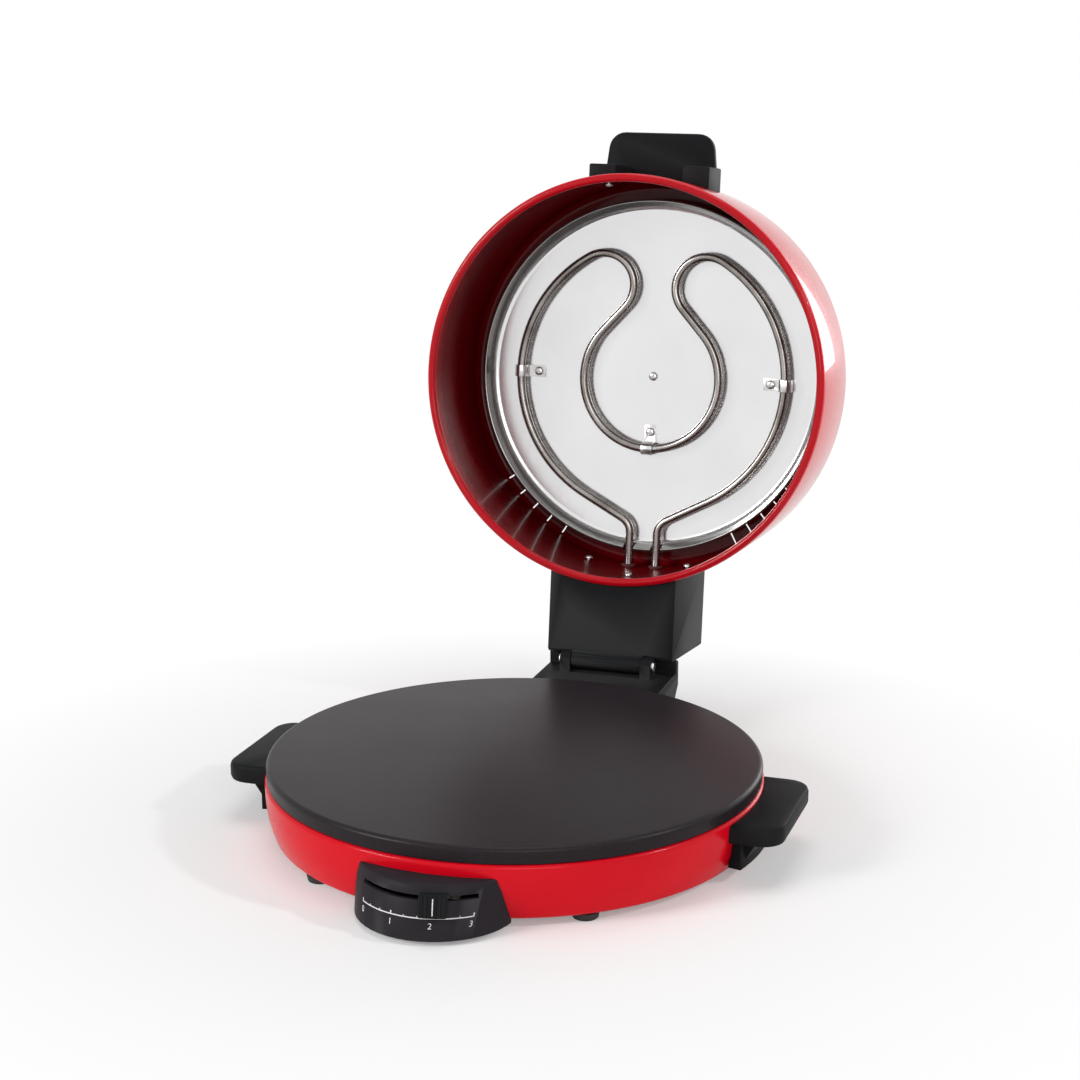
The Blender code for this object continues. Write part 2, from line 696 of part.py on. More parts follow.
def make_hot_plate(base):
    skirt = BASE_TOP + GAP
    under = PLATE_TOP - PLATE_THICKNESS
    inner = PLATE_RADIUS - PLATE_DRAFT - PLATE_SKIRT
    profile = rounded(
        [
            (0, PLATE_TOP, 0),
            (PLATE_RADIUS, PLATE_TOP, PLATE_SHOULDER),
            (PLATE_RADIUS - PLATE_DRAFT, skirt, 0),
            (inner, skirt, 0),
            (inner, under, 0),
            (0, under, 0),
        ]
    )
    bm = bmesh.new()
    spin_profile(bm, profile, ring=False)
    piece("hot_plate", bm, "nonstick", base)


def make_lower_element(base):
    under = PLATE_TOP - PLATE_THICKNESS
    height = under - GAP - LOWER_TUBE
    start = LOWER_END_ANGLE
    steps = LARGE_STEPS
    loop = [(*point, height) for point in arc((0, 0), LOWER_LOOP_RADIUS, start, TURN - start, steps)]
    bend = []
    for i in range(1, CORNER_STEPS + 1):
        turn = QUARTER * i / CORNER_STEPS
        along_ring = LOWER_END_BEND * math.sin(turn)
        drop = LOWER_END_BEND * (1 - math.cos(turn))
        spot = on_circle(LOWER_LOOP_RADIUS, start - along_ring / LOWER_LOOP_RADIUS)
        bend.append((spot.x, spot.y, height - drop))
    spot = bend[-1]
    bend.append((spot[0], spot[1], height - LOWER_END_DROP))
    mirrored = [(-x, y, z) for x, y, z in bend]
    tube("lower_element", bend[::-1] + loop + mirrored, LOWER_TUBE, "element_steel", base)
    for i in range(CLAMP_COUNT):
        angle = CLAMP_FIRST_ANGLE + TURN * i / CLAMP_COUNT
        centre = (LOWER_LOOP_RADIUS * math.cos(angle), LOWER_LOOP_RADIUS * math.sin(angle))
        drop = under - height
        bm = hat_strap(under, LOWER_TUBE, drop, CLAMP_FOOT, CLAMP_WIDTH, CLAMP_SHEET, angle, centre)
        piece("lower_clamp_" + str(i + 1), bm, "zinc", base)


def make_heat_shield(base):
    hole = STUD_RADIUS + GAP
    path = rounded(
        [
            (SHIELD_RADIUS, SHIELD_HEIGHT + SHIELD_RIM, 0),
            (SHIELD_RADIUS - SHIELD_FLARE, SHIELD_HEIGHT, SHIELD_RIM / 2),
            (hole, SHIELD_HEIGHT, 0),
        ]
    )
    bm = bmesh.new()
    spin_profile(bm, sheet(path, SHIELD_SHEET))
    piece("heat_shield", bm, "aluminium", base)
    low = BASE_BOTTOM + BASE_WALL + COVER_SHEET + GAP * 2
    collar = SHIELD_HEIGHT - SHIELD_SHEET - GAP
    top = PLATE_TOP - PLATE_THICKNESS - GAP
    profile = [
        (0, top),
        (STUD_RADIUS, top),
        (STUD_RADIUS, collar),
        (STUD_COLLAR_RADIUS, collar),
        (STUD_COLLAR_RADIUS, collar - STUD_COLLAR_HEIGHT),
        (STUD_RADIUS, collar - STUD_COLLAR_HEIGHT),
        (STUD_RADIUS, low),
        (0, low),
    ]
    bm = bmesh.new()
    spin_profile(bm, profile, steps=MIDDLE_STEPS, ring=False)
    piece("shield_stud", bm, "zinc", base)


def make_control_panel(base):
    edge = (PANEL_TOP_RADIUS, PANEL_TOP, PANEL_EDGE)
    outer = rounded([(0, PANEL_TOP, 0), edge, (PANEL_BOTTOM_RADIUS, PANEL_BOTTOM, 0)])
    inner_top = PANEL_TOP - PANEL_WALL
    profile = outer + [
        (PANEL_BOTTOM_RADIUS - PANEL_WALL, PANEL_BOTTOM),
        (cone_radius(inner_top) - PANEL_WALL, inner_top),
        (0, inner_top),
    ]
    bm = bmesh.new()
    spin_profile(bm, profile, centre=(0, PANEL_TOP_Y), steps=LARGE_STEPS, ring=False)
    lean(bm)
    panel = piece("control_panel", bm, "black_plastic", base)
    combine(panel, base_form(GAP))
    low = SLOT_HEIGHT - SLOT_WIDTH / 2
    high = SLOT_HEIGHT + SLOT_WIDTH / 2
    near = face_reach(SLOT_HEIGHT) - PANEL_WALL * 3
    far = face_reach(SLOT_HEIGHT) + OVERRUN
    cuts = bmesh.new()
    profile = [(near, low), (far, low), (far, high), (near, high)]
    spin_profile(cuts, profile, centre=(0, PIVOT_Y), steps=MIDDLE_STEPS, half_angle=SLOT_HALF_ANGLE)
    combine(panel, cuts)


def make_thermostat(base, lever):
    floor = BASE_BOTTOM + BASE_WALL + COVER_SHEET + GAP * 2
    bm = bmesh.new()
    body = [(-THERMOSTAT_WIDTH / 2, -THERMOSTAT_LENGTH / 2), (THERMOSTAT_WIDTH / 2, -THERMOSTAT_LENGTH / 2)]
    body += [(THERMOSTAT_WIDTH / 2, THERMOSTAT_LENGTH / 2), (-THERMOSTAT_WIDTH / 2, THERMOSTAT_LENGTH / 2)]
    raise_outline(bm, body, floor, THERMOSTAT_TOP)
    thermostat = piece("thermostat", bm, "ceramic", base, (0, PIVOT_Y, 0))
    shaft = bmesh.new()
    shaft_top = SLOT_HEIGHT + LEVER_SHEET / 2
    add_rod(shaft, Matrix(), floor + OVERRUN, shaft_top, SHAFT_RADIUS)
    combine(thermostat, shaft, "UNION")
    bm = bmesh.new()
    half = math.asin(LEVER_HALF_WIDTH / LEVER_HUB_RADIUS)
    hub = arc((0, 0), LEVER_HUB_RADIUS, math.pi + half, math.pi + TURN - half, SMALL_STEPS)
    reach = face_reach(SLOT_HEIGHT) + KNOB_CLEARANCE + LEVER_GRIP
    tip = [(LEVER_HALF_WIDTH, -reach), (-LEVER_HALF_WIDTH, -reach)]
    raise_outline(bm, hub + tip, SLOT_HEIGHT - LEVER_SHEET / 2, SLOT_HEIGHT + LEVER_SHEET / 2)
    arm = piece("thermostat_lever", bm, "zinc", lever)
    hole = bmesh.new()
    add_rod(hole, Matrix(), THERMOSTAT_TOP, SLOT_HEIGHT + OVERRUN, SHAFT_RADIUS + GAP)
    combine(arm, hole)
    make_knob(lever, reach)


def make_knob(lever, lever_reach):
    low = SLOT_HEIGHT - KNOB_BELOW
    high = SLOT_HEIGHT + KNOB_ABOVE
    profile = [
        (cone_radius(low) + KNOB_CLEARANCE, low),
        (cone_radius(low) + KNOB_PROUD, low),
        (cone_radius(high) + KNOB_PROUD, high),
        (cone_radius(high) + KNOB_CLEARANCE, high),
    ]
    bm = bmesh.new()
    spin_profile(bm, profile, (0, PANEL_TOP_Y - PIVOT_Y), SMALL_STEPS // 2, KNOB_HALF_ANGLE)
    lean(bm)
    knob = piece("lever_knob", bm, "black_plastic", lever)
    soften(knob, PANEL_EDGE / 2, 1)
    socket = bmesh.new()
    side = LEVER_HALF_WIDTH + GAP
    half = LEVER_SHEET / 2 + GAP
    add_block(socket, (-side, -lever_reach - GAP, SLOT_HEIGHT - half), (side, 0, SLOT_HEIGHT + half))
    combine(knob, socket)


def make_side_handles(base):
    top = BASE_TOP - LIP_FILLET - SKIRT_TOP_DROP
    low = BASE_BOTTOM + FOOT_FILLET + SKIRT_BOTTOM_RISE
    grip_top = BASE_TOP - GRIP_DROP
    for name, side in (("left", -1), ("right", 1)):
        back = BASE_BOTTOM_RADIUS - OVERRUN
        skirt = [(SKIRT_OUTER, top), (SKIRT_OUTER, low), (back, low), (back, top)]
        bm = bmesh.new()
        spin_profile(bm, skirt, steps=SMALL_STEPS, half_angle=SKIRT_HALF_ANGLE, middle=side * QUARTER)
        handle = piece("side_handle_" + name, bm, "black_plastic", base)
        under = bmesh.new()
        middle = grip_top - GRIP_THICKNESS / 2
        foot = low + SKIRT_BOTTOM_RISE
        inside = back - OVERRUN
        gusset = [(GUSSET_REACH, middle), (SKIRT_OUTER - SKIRT_PROUD / 2, foot), (inside, foot), (inside, middle)]
        spin_profile(under, gusset, steps=SMALL_STEPS, half_angle=GUSSET_HALF_ANGLE, middle=side * QUARTER)
        combine(handle, under, "UNION")
        grip = bmesh.new()
        root = back - GRIP_HALF_LENGTH / 2
        outline = rounded(
            [
                (side * root, -GRIP_HALF_LENGTH, 0),
                (side * GRIP_TIP, -GRIP_HALF_LENGTH, GRIP_CORNER),
                (side * GRIP_TIP, GRIP_HALF_LENGTH, GRIP_CORNER),
                (side * root, GRIP_HALF_LENGTH, 0),
            ],
            GRIP_CORNER_STEPS,
        )
        raise_outline(grip, outline, grip_top - GRIP_THICKNESS, grip_top)
        lug = combine(handle, grip, "UNION")
        soften(lug, GRIP_EDGE)
        combine(handle, base_form(GAP))
        holes = bmesh.new()
        for i, y in enumerate((-HANDLE_SCREW_Y, HANDLE_SCREW_Y)):
            point = handle_screw_point(side, y)
            length = SKIRT_OUTER - abs(point[0]) - HANDLE_SCREW_GRIP
            add_screw_hole(holes, point, (side, 0, 0), length + GAP)
            where = "front" if i == 0 else "rear"
            screw("handle_screw_" + name + "_" + where, point, (side, 0, 0), length, "zinc", base)
        combine(handle, holes)


def hood_to_world(y, depth):
    """World (y, z) of a point of the open hood, from its own frame's y and depth."""
    back = y - HINGE_Y
    up = depth + PLATE_TOP + RIM_GAP - HINGE_Z
    cos, sin = math.cos(OPEN_ANGLE), math.sin(OPEN_ANGLE)
    return Vector((HINGE_Y + back * cos + up * sin, HINGE_Z - back * sin + up * cos))


def stop_height(y):
    """Height of the open terminal box's lower face at a place behind the pin."""
    near, far = hood_to_world(BOX_BACK, BOX_NEAR), hood_to_world(BOX_BACK, BOX_FAR)
    return near.y + (far.y - near.y) * (y - near.x) / (far.x - near.x)


def make_hinge_bracket(base):
    sideways = Matrix(((0, 0, 1, 0), (1, 0, 0, 0), (0, 1, 0, 0), (0, 0, 0, 1)))
    front = BASE_BOTTOM_RADIUS - OVERRUN - BRACKET_HALF_WIDTH / 2
    step = BRACKET_BACK - STOP_DEPTH
    outline = [
        (front, BRACKET_BOTTOM),
        (BRACKET_BACK - BRACKET_SLOPE, BRACKET_BOTTOM),
        (BRACKET_BACK, BRACKET_BOTTOM + BRACKET_SLOPE),
        (BRACKET_BACK, stop_height(BRACKET_BACK) - GAP),
        (step, stop_height(step) - GAP),
        (step, BRACKET_TOP),
        (front, BRACKET_TOP),
    ]
    bm = bmesh.new()
    raise_outline(bm, outline, -BRACKET_HALF_WIDTH, BRACKET_HALF_WIDTH, sideways)
    bracket = piece("hinge_bracket", bm, "black_plastic", base)
    soften(bracket, PANEL_EDGE)
    ears = bmesh.new()
    near = KNUCKLE_HALF_WIDTH + GAP
    for side in (-1, 1):
        low, high = sorted((side * near, side * (near + EAR_WIDTH)))
        lug = [(HINGE_Y + EAR_RADIUS, BRACKET_TOP - BRACKET_WALL)]
        lug += [point for point in arc((HINGE_Y, HINGE_Z), EAR_RADIUS, QUARTER, -QUARTER, SMALL_STEPS // 2)]
        lug += [(HINGE_Y - EAR_RADIUS, BRACKET_TOP - BRACKET_WALL)]
        raise_outline(ears, lug, low, high, sideways)
    combine(bracket, ears, "UNION")
    combine(bracket, base_form(GAP))
    cuts = bmesh.new()
    inside = BRACKET_HALF_WIDTH - BRACKET_WALL
    add_block(
        cuts,
        (-inside, BASE_RADIUS + BRACKET_WALL, -OVERRUN),
        (inside, step - BRACKET_WALL, BRACKET_TOP - BRACKET_WALL),
    )
    across = along((0, HINGE_Y, HINGE_Z), (1, 0, 0))
    add_rod(cuts, across, -BRACKET_HALF_WIDTH, BRACKET_HALF_WIDTH, PIN_RADIUS + GAP)
    length = BASE_WALL + BRACKET_WALL * 1.5
    for side, name in ((-1, "left"), (1, "right")):
        point = bracket_screw_point(side)
        add_screw_hole(cuts, point, (0, 1, 0), length + GAP)
        screw("bracket_screw_" + name, point, (0, 1, 0), length, "zinc", base)
    combine(bracket, cuts)
    end = near + EAR_WIDTH + GAP
    bm = bmesh.new()
    tip = end + PIN_HEAD
    profile = [(0, tip), (PIN_HEAD_RADIUS, tip), (PIN_HEAD_RADIUS, end), (PIN_RADIUS, end)]
    profile += [(radius, -z) for radius, z in profile[::-1]]
    spin_profile(bm, profile, steps=SMALL_STEPS, ring=False)
    bmesh.ops.transform(bm, matrix=across, verts=bm.verts[:])
    piece("hinge_pin", bm, "steel", base)


def make_cord_gland(base):
    point = gland_point()
    neck = GLAND_RADIUS - GLAND_COLLAR
    inside = -BASE_WALL - GLAND_COLLAR
    profile = [
        (GLAND_BORE, GLAND_LENGTH),
        (GLAND_RADIUS - GLAND_COLLAR / 2, GLAND_LENGTH),
        (GLAND_RADIUS, GLAND_COLLAR + GAP),
        (GLAND_RADIUS, GAP * 2),
        (neck, GAP * 2),
        (neck, inside),
        (GLAND_BORE, inside),
    ]
    bm = bmesh.new()
    spin_profile(bm, profile, steps=MIDDLE_STEPS)
    bmesh.ops.transform(bm, matrix=along(point, (point.x, point.y, 0)), verts=bm.verts[:])
    piece("cord_gland", bm, "rubber", base)


def make_terminal_block(base):
    floor = BASE_BOTTOM + BASE_WALL + COVER_SHEET + GAP * 2
    bm = bmesh.new()
    add_block(
        bm,
        (-BLOCK_WIDTH / 2, BLOCK_Y - BLOCK_LENGTH / 2, floor),
        (BLOCK_WIDTH / 2, BLOCK_Y + BLOCK_LENGTH / 2, floor + BLOCK_HEIGHT),
    )
    piece("terminal_block", bm, "ceramic", base)


def tray_screw_places():
    """The reflector's screws that also hold an element clip, each with the clip's angle."""
    reach = OUTER_ARC - CLIP_SCREW
    return {
        "left": ((-reach, OUTER_ARC_Y), math.pi),
        "right": ((reach, OUTER_ARC_Y), 0),
        "rear": ((0, INNER_ARC_Y + INNER_ARC - CLIP_SCREW), QUARTER),
    }


def make_hood_shell(hood, place):
    bm = bmesh.new()
    profile = sheet(hood_path(), HOOD_SHEET)
    profile = profile[len(profile) // 2:] + profile[:len(profile) // 2]
    spin_profile(bm, profile, ring=False)
    shell = piece("hood_shell", bm, "red_paint", hood, place)
    cuts = bmesh.new()
    for side in (-1, 1):
        for i in range(VENT_COUNT):
            angle = side * (VENT_FIRST_ANGLE + VENT_STEP * i)
            half = VENT_WIDTH / 2
            slot = [(-half, VENT_INNER), (half, VENT_INNER), (half, VENT_OUTER), (-half, VENT_OUTER)]
            turn = Matrix.Rotation(-angle, 4, "Z")
            raise_outline(cuts, slot, HOOD_DEPTH - HOOD_CORNER - OVERRUN, HOOD_DEPTH + OVERRUN, turn)
        hole = along((side * LEG_X, HOOD_RADIUS, UPPER_DEPTH), (0, 1, 0))
        add_rod(cuts, hole, -OVERRUN * 3, OVERRUN, BUSHING_RADIUS + GAP)
        point = (side * HANDLE_SCREW_X, -HOOD_RADIUS, HANDLE_SCREW_DEPTH)
        add_screw_hole(cuts, point, (0, 1, 0), OVERRUN * 4)
    for x, depth in box_screws().values():
        add_screw_hole(cuts, (x, HOOD_RADIUS, depth), (0, -1, 0), OVERRUN * 4)
    combine(shell, cuts)


def make_reflector(hood, place):
    path = rounded(
        [
            (TRAY_RADIUS + TRAY_CURL, TRAY_LIP_DEPTH + TRAY_CURL, 0),
            (TRAY_RADIUS, TRAY_LIP_DEPTH, TRAY_CURL / 2),
            (TRAY_FLOOR_RADIUS, TRAY_FLOOR_DEPTH, TRAY_CORNER),
            (0, TRAY_FLOOR_DEPTH, 0),
        ]
    )
    profile = sheet(path, -TRAY_SHEET)
    half = len(profile) // 2
    bm = bmesh.new()
    spin_profile(bm, profile[half:] + profile[:half], ring=False)
    tray = piece("reflector", bm, "aluminium", hood, place)
    cuts = bmesh.new()
    floor = TRAY_FLOOR_DEPTH
    length = HOOD_DEPTH - HOOD_SHEET - GAP - floor
    spots = {"middle": (0, 0)} | {name: spot for name, (spot, _) in tray_screw_places().items()}
    for name, (x, y) in spots.items():
        add_screw_hole(cuts, (x, y, floor), (0, 0, 1), OVERRUN)
        start = floor - GAP if name == "middle" else floor - GAP * 2 - CLIP_SHEET
        point = (x, y, start)
        screw("tray_screw_" + name, point, (0, 0, 1), floor + length - start, "steel", hood, place)
        bore = SCREW_RADIUS + GAP
        low = floor + TRAY_SHEET + GAP
        high = floor + length
        spacer = [(bore, high), (SPACER_RADIUS, high), (SPACER_RADIUS, low), (bore, low)]
        bm = bmesh.new()
        spin_profile(bm, spacer, centre=(x, y), steps=SMALL_STEPS)
        piece("tray_spacer_" + name, bm, "zinc", hood, place)
    reach = UPPER_TUBE + TRAY_SHEET
    for side in (-1, 1):
        add_block(
            cuts,
            (side * LEG_X - reach, TRAY_FLOOR_RADIUS - OVERRUN, TRAY_LIP_DEPTH - OVERRUN),
            (side * LEG_X + reach, TRAY_RADIUS + OVERRUN * 2, UPPER_DEPTH + reach),
        )
    combine(tray, cuts)


def steps_for(radius, sweep):
    return max(3, round(radius * abs(sweep) / ARC_POINT_SPACING))


def upper_element_half():
    """Right half of the upper element's line, from the middle of its inner arc to the end of its leg."""
    inner, outer = Vector((0, INNER_ARC_Y)), Vector((0, OUTER_ARC_Y))
    reach = OUTER_ARC - LOOP_ARC
    loop = Vector((LOOP_X, OUTER_ARC_Y - math.sqrt(reach * reach - LOOP_X * LOOP_X)))
    bend = Vector((LEG_X + LEG_BEND, LEG_BEND_Y))
    across = loop - inner
    leave = math.atan2(across.x, across.y) - math.acos((INNER_ARC + LOOP_ARC) / across.length)
    contact = math.atan2(loop.x, loop.y - outer.y)
    back = bend - outer
    depart = math.atan2(back.x, back.y) + math.acos((OUTER_ARC + LEG_BEND) / back.length)
    points = arc(inner, INNER_ARC, 0, leave, steps_for(INNER_ARC, leave))
    points += arc(loop, LOOP_ARC, leave + math.pi, contact, steps_for(LOOP_ARC, leave + math.pi - contact))
    points += arc(outer, OUTER_ARC, contact, depart, steps_for(OUTER_ARC, contact - depart))[1:]
    points += arc(bend, LEG_BEND, depart + math.pi, math.pi * 1.5, steps_for(LEG_BEND, QUARTER - depart))
    return points + [Vector((LEG_X, LEG_END))]


def make_upper_element(hood, place):
    half = [(x, y, UPPER_DEPTH) for x, y in upper_element_half()]
    other = [(-x, y, z) for x, y, z in half[1:]]
    tube("upper_element", other[::-1] + half, UPPER_TUBE, "element_steel", hood, place)
    drop = TRAY_FLOOR_DEPTH - UPPER_DEPTH
    for name, (spot, angle) in tray_screw_places().items():
        centre = Vector(spot) + Vector((math.cos(angle), math.sin(angle))) * CLIP_SCREW
        bm = hat_strap(TRAY_FLOOR_DEPTH, UPPER_TUBE, drop, CLIP_FOOT, CLIP_WIDTH, CLIP_SHEET, angle, centre)
        clip = piece("element_clip_" + name, bm, "steel", hood, place)
        hole = bmesh.new()
        add_screw_hole(hole, (*spot, TRAY_FLOOR_DEPTH - OVERRUN / 2), (0, 0, 1), OVERRUN)
        combine(clip, hole)
    for name, side in (("left", -1), ("right", 1)):
        wall = math.sqrt((hood_radius(UPPER_DEPTH) - HOOD_SHEET) ** 2 - (LEG_X + BUSHING_FLANGE) ** 2) - GAP
        bore = UPPER_TUBE + GAP
        start = -BUSHING_FLANGE_WIDTH
        profile = [
            (bore, BUSHING_LENGTH),
            (BUSHING_RADIUS, BUSHING_LENGTH),
            (BUSHING_RADIUS, 0),
            (BUSHING_FLANGE, 0),
            (BUSHING_FLANGE, start),
            (bore, start),
        ]
        bm = bmesh.new()
        spin_profile(bm, profile, steps=SMALL_STEPS)
        spot = along((side * LEG_X, wall, UPPER_DEPTH), (0, 1, 0))
        bmesh.ops.transform(bm, matrix=spot, verts=bm.verts[:])
        piece("element_bushing_" + name, bm, "ceramic", hood, place)


def box_screws():
    return {
        "left": (-BOX_SCREW_X, BOX_SCREW_DEPTH),
        "right": (BOX_SCREW_X, BOX_SCREW_DEPTH),
        "middle": (0, BOX_MIDDLE_SCREW_DEPTH),
    }


def make_terminal_box(hood, place):
    sideways = Matrix(((0, 0, 1, 0), (1, 0, 0, 0), (0, 1, 0, 0), (0, 0, 0, 1)))
    start = HOOD_RADIUS - BOX_HALF_WIDTH / 2
    outline = [
        (start, BOX_NEAR),
        (BOX_BACK - BOX_CHAMFER, BOX_NEAR),
        (BOX_BACK, BOX_NEAR + BOX_CHAMFER),
        (BOX_BACK, BOX_FAR),
        (start, BOX_FAR),
    ]
    bm = bmesh.new()
    raise_outline(bm, outline, -BOX_HALF_WIDTH, BOX_HALF_WIDTH, sideways)
    box = piece("terminal_box", bm, "black_plastic", hood, place)
    soften(box, BOX_EDGE)
    inside = bmesh.new()
    reach = BOX_HALF_WIDTH - BOX_WALL
    low = (-reach, start - OVERRUN, BOX_NEAR + BOX_WALL + BOX_CHAMFER / 2)
    add_block(inside, low, (reach, BOX_BACK - BOX_WALL - BOX_CHAMFER / 2, BOX_FAR - BOX_WALL))
    combine(box, inside)
    joined = bmesh.new()
    for x, depth in box_screws().values():
        add_rod(joined, along((x, start, depth), (0, 1, 0)), 0, BOX_BACK - BOX_WALL - start, BOSS_RADIUS)
    pin_depth = HINGE_Z - PLATE_TOP - RIM_GAP
    add_block(
        joined,
        (-KNUCKLE_HALF_WIDTH, BOX_BACK - BOX_CHAMFER * 2, pin_depth - KNUCKLE_RADIUS * 0.6),
        (KNUCKLE_HALF_WIDTH, HINGE_Y, BOX_NEAR + BOX_CHAMFER),
    )
    combine(box, joined, "UNION")
    knuckle = bmesh.new()
    middle = along((0, HINGE_Y, pin_depth), (1, 0, 0))
    add_rod(knuckle, middle, -KNUCKLE_HALF_WIDTH, KNUCKLE_HALF_WIDTH, KNUCKLE_RADIUS, MIDDLE_STEPS)
    combine(box, knuckle, "UNION")
    near = KNUCKLE_HALF_WIDTH
    far = near + EAR_WIDTH + PIN_HEAD + GAP * 4
    reliefs = bmesh.new()
    for low, high in ((-far, -near), (near, far)):
        add_rod(reliefs, middle, low, high, EAR_RADIUS + EAR_CLEARANCE, MIDDLE_STEPS)
    combine(box, reliefs)
    cuts = bmesh.new()
    add_rod(cuts, middle, -BOX_HALF_WIDTH, BOX_HALF_WIDTH, PIN_RADIUS + GAP)
    for name, (x, depth) in box_screws().items():
        radius = hood_radius(depth) - HOOD_SHEET
        reach = abs(x) + SCREW_HEAD_RADIUS
        point = (x, math.sqrt(radius * radius - reach * reach) - GAP, depth)
        length = HOOD_RADIUS - point[1] + BOSS_RADIUS * 2
        add_screw_hole(cuts, point, (0, 1, 0), length + GAP)
        screw("box_screw_" + name, point, (0, 1, 0), length, "steel", hood, place)
    combine(box, cuts)
    combine(box, hood_form(GAP))


def make_lid_handle(hood, place):
    start = HOOD_RADIUS - HANDLE_FOOT_OUTER / 2
    far = FLAP_NEAR + FLAP_THICKNESS
    flap = bmesh.new()
    outline = rounded(
        [
            (-FLAP_ROOT_HALF, -start, 0),
            (-FLAP_TIP_HALF, -FLAP_TIP, FLAP_CORNER),
            (FLAP_TIP_HALF, -FLAP_TIP, FLAP_CORNER),
            (FLAP_ROOT_HALF, -start, 0),
        ],
        GRIP_CORNER_STEPS,
    )
    raise_outline(flap, outline, FLAP_NEAR, far)
    handle = piece("lid_handle", flap, "black_plastic", hood, place)
    soften(handle, FLAP_EDGE)
    feet = bmesh.new()
    for side in (-1, 1):
        low, high = sorted((side * HANDLE_FOOT_INNER, side * HANDLE_FOOT_OUTER))
        add_block(feet, (low, -HANDLE_FOOT_RISE, HANDLE_FOOT_NEAR), (high, -start, far - FLAP_EDGE))
    tool = combine(handle, feet, "UNION")
    soften(tool, PANEL_EDGE)
    combine(handle, hood_form(GAP))
    holes = bmesh.new()
    for name, side in (("left", -1), ("right", 1)):
        radius = hood_radius(HANDLE_SCREW_DEPTH) - HOOD_SHEET
        reach = HANDLE_SCREW_X + SCREW_HEAD_RADIUS
        point = (side * HANDLE_SCREW_X, GAP - math.sqrt(radius * radius - reach * reach), HANDLE_SCREW_DEPTH)
        length = HOOD_RADIUS + point[1] + HANDLE_SCREW_LENGTH
        add_screw_hole(holes, point, (0, -1, 0), length + GAP)
        screw("lid_handle_screw_" + name, point, (0, -1, 0), length, "steel", hood, place)
    combine(handle, holes)


def empty(name, parent, location, rotation=(0, 0, 0)):
    thing = new_object(name, None, parent)
    thing.location = location
    thing.rotation_euler = rotation
    return thing


def centre_on_origin(root):
    """Puts the origin under the middle of the whole part's box."""
    bpy.context.view_layer.update()
    graph = bpy.context.evaluated_depsgraph_get()
    ends = []
    for thing in bpy.context.scene.objects:
        if thing.type == "EMPTY" or thing.hide_render:
            continue
        seen = thing.evaluated_get(graph)
        mesh = seen.to_mesh()
        ends += [(seen.matrix_world @ point.co).y for point in mesh.vertices]
        seen.to_mesh_clear()
    root.location.y = -(min(ends) + max(ends)) / 2


def main():
    for thing in list(bpy.data.objects):
        bpy.data.objects.remove(thing, do_unlink=True)
    root = empty("roti_maker", None, (0, 0, 0))
    hinge = empty("hood_hinge", root, (0, HINGE_Y, HINGE_Z), (-OPEN_ANGLE, 0, 0))
    lever = empty("lever_pivot", root, (0, PIVOT_Y, 0), (0, 0, LEVER_REST))
    make_base_shell(root)
    make_bottom_cover(root)
    make_feet(root)
    make_hot_plate(root)
    make_lower_element(root)
    make_heat_shield(root)
    make_control_panel(root)
    make_thermostat(root, lever)
    make_side_handles(root)
    make_hinge_bracket(root)
    make_cord_gland(root)
    make_terminal_block(root)
    place = (0, -HINGE_Y, PLATE_TOP + RIM_GAP - HINGE_Z)
    make_hood_shell(hinge, place)
    make_reflector(hinge, place)
    make_upper_element(hinge, place)
    make_terminal_box(hinge, place)
    make_lid_handle(hinge, place)
    centre_on_origin(root)


main()
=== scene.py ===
# Electric flatbread maker with its hood open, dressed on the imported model.
import json
import math

import bmesh
import bpy
from mathutils import Matrix, Vector

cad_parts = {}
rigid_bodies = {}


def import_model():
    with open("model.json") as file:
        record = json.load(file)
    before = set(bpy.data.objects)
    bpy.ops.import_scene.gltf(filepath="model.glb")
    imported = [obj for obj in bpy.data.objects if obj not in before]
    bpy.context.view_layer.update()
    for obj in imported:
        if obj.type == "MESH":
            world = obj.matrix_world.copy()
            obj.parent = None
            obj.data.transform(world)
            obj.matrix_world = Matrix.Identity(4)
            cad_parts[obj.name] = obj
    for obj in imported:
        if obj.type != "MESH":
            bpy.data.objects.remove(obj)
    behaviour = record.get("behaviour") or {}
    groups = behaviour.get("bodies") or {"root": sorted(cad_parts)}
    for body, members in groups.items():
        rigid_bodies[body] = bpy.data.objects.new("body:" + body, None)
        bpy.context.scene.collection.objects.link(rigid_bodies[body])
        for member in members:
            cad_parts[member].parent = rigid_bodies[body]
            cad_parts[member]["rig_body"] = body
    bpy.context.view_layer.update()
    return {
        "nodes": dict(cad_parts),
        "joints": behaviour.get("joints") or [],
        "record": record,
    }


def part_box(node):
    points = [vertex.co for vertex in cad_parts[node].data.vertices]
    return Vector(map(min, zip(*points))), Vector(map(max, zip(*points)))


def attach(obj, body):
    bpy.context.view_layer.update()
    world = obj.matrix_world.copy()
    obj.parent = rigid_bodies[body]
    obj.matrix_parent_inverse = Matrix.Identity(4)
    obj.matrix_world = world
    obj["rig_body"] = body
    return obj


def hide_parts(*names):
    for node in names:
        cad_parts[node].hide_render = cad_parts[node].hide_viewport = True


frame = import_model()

SLOTS = {part["node"]: part["material_slot"] for part in frame["record"]["subparts"]}
BODY_OF = {node: thing["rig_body"] for node, thing in frame["nodes"].items()}

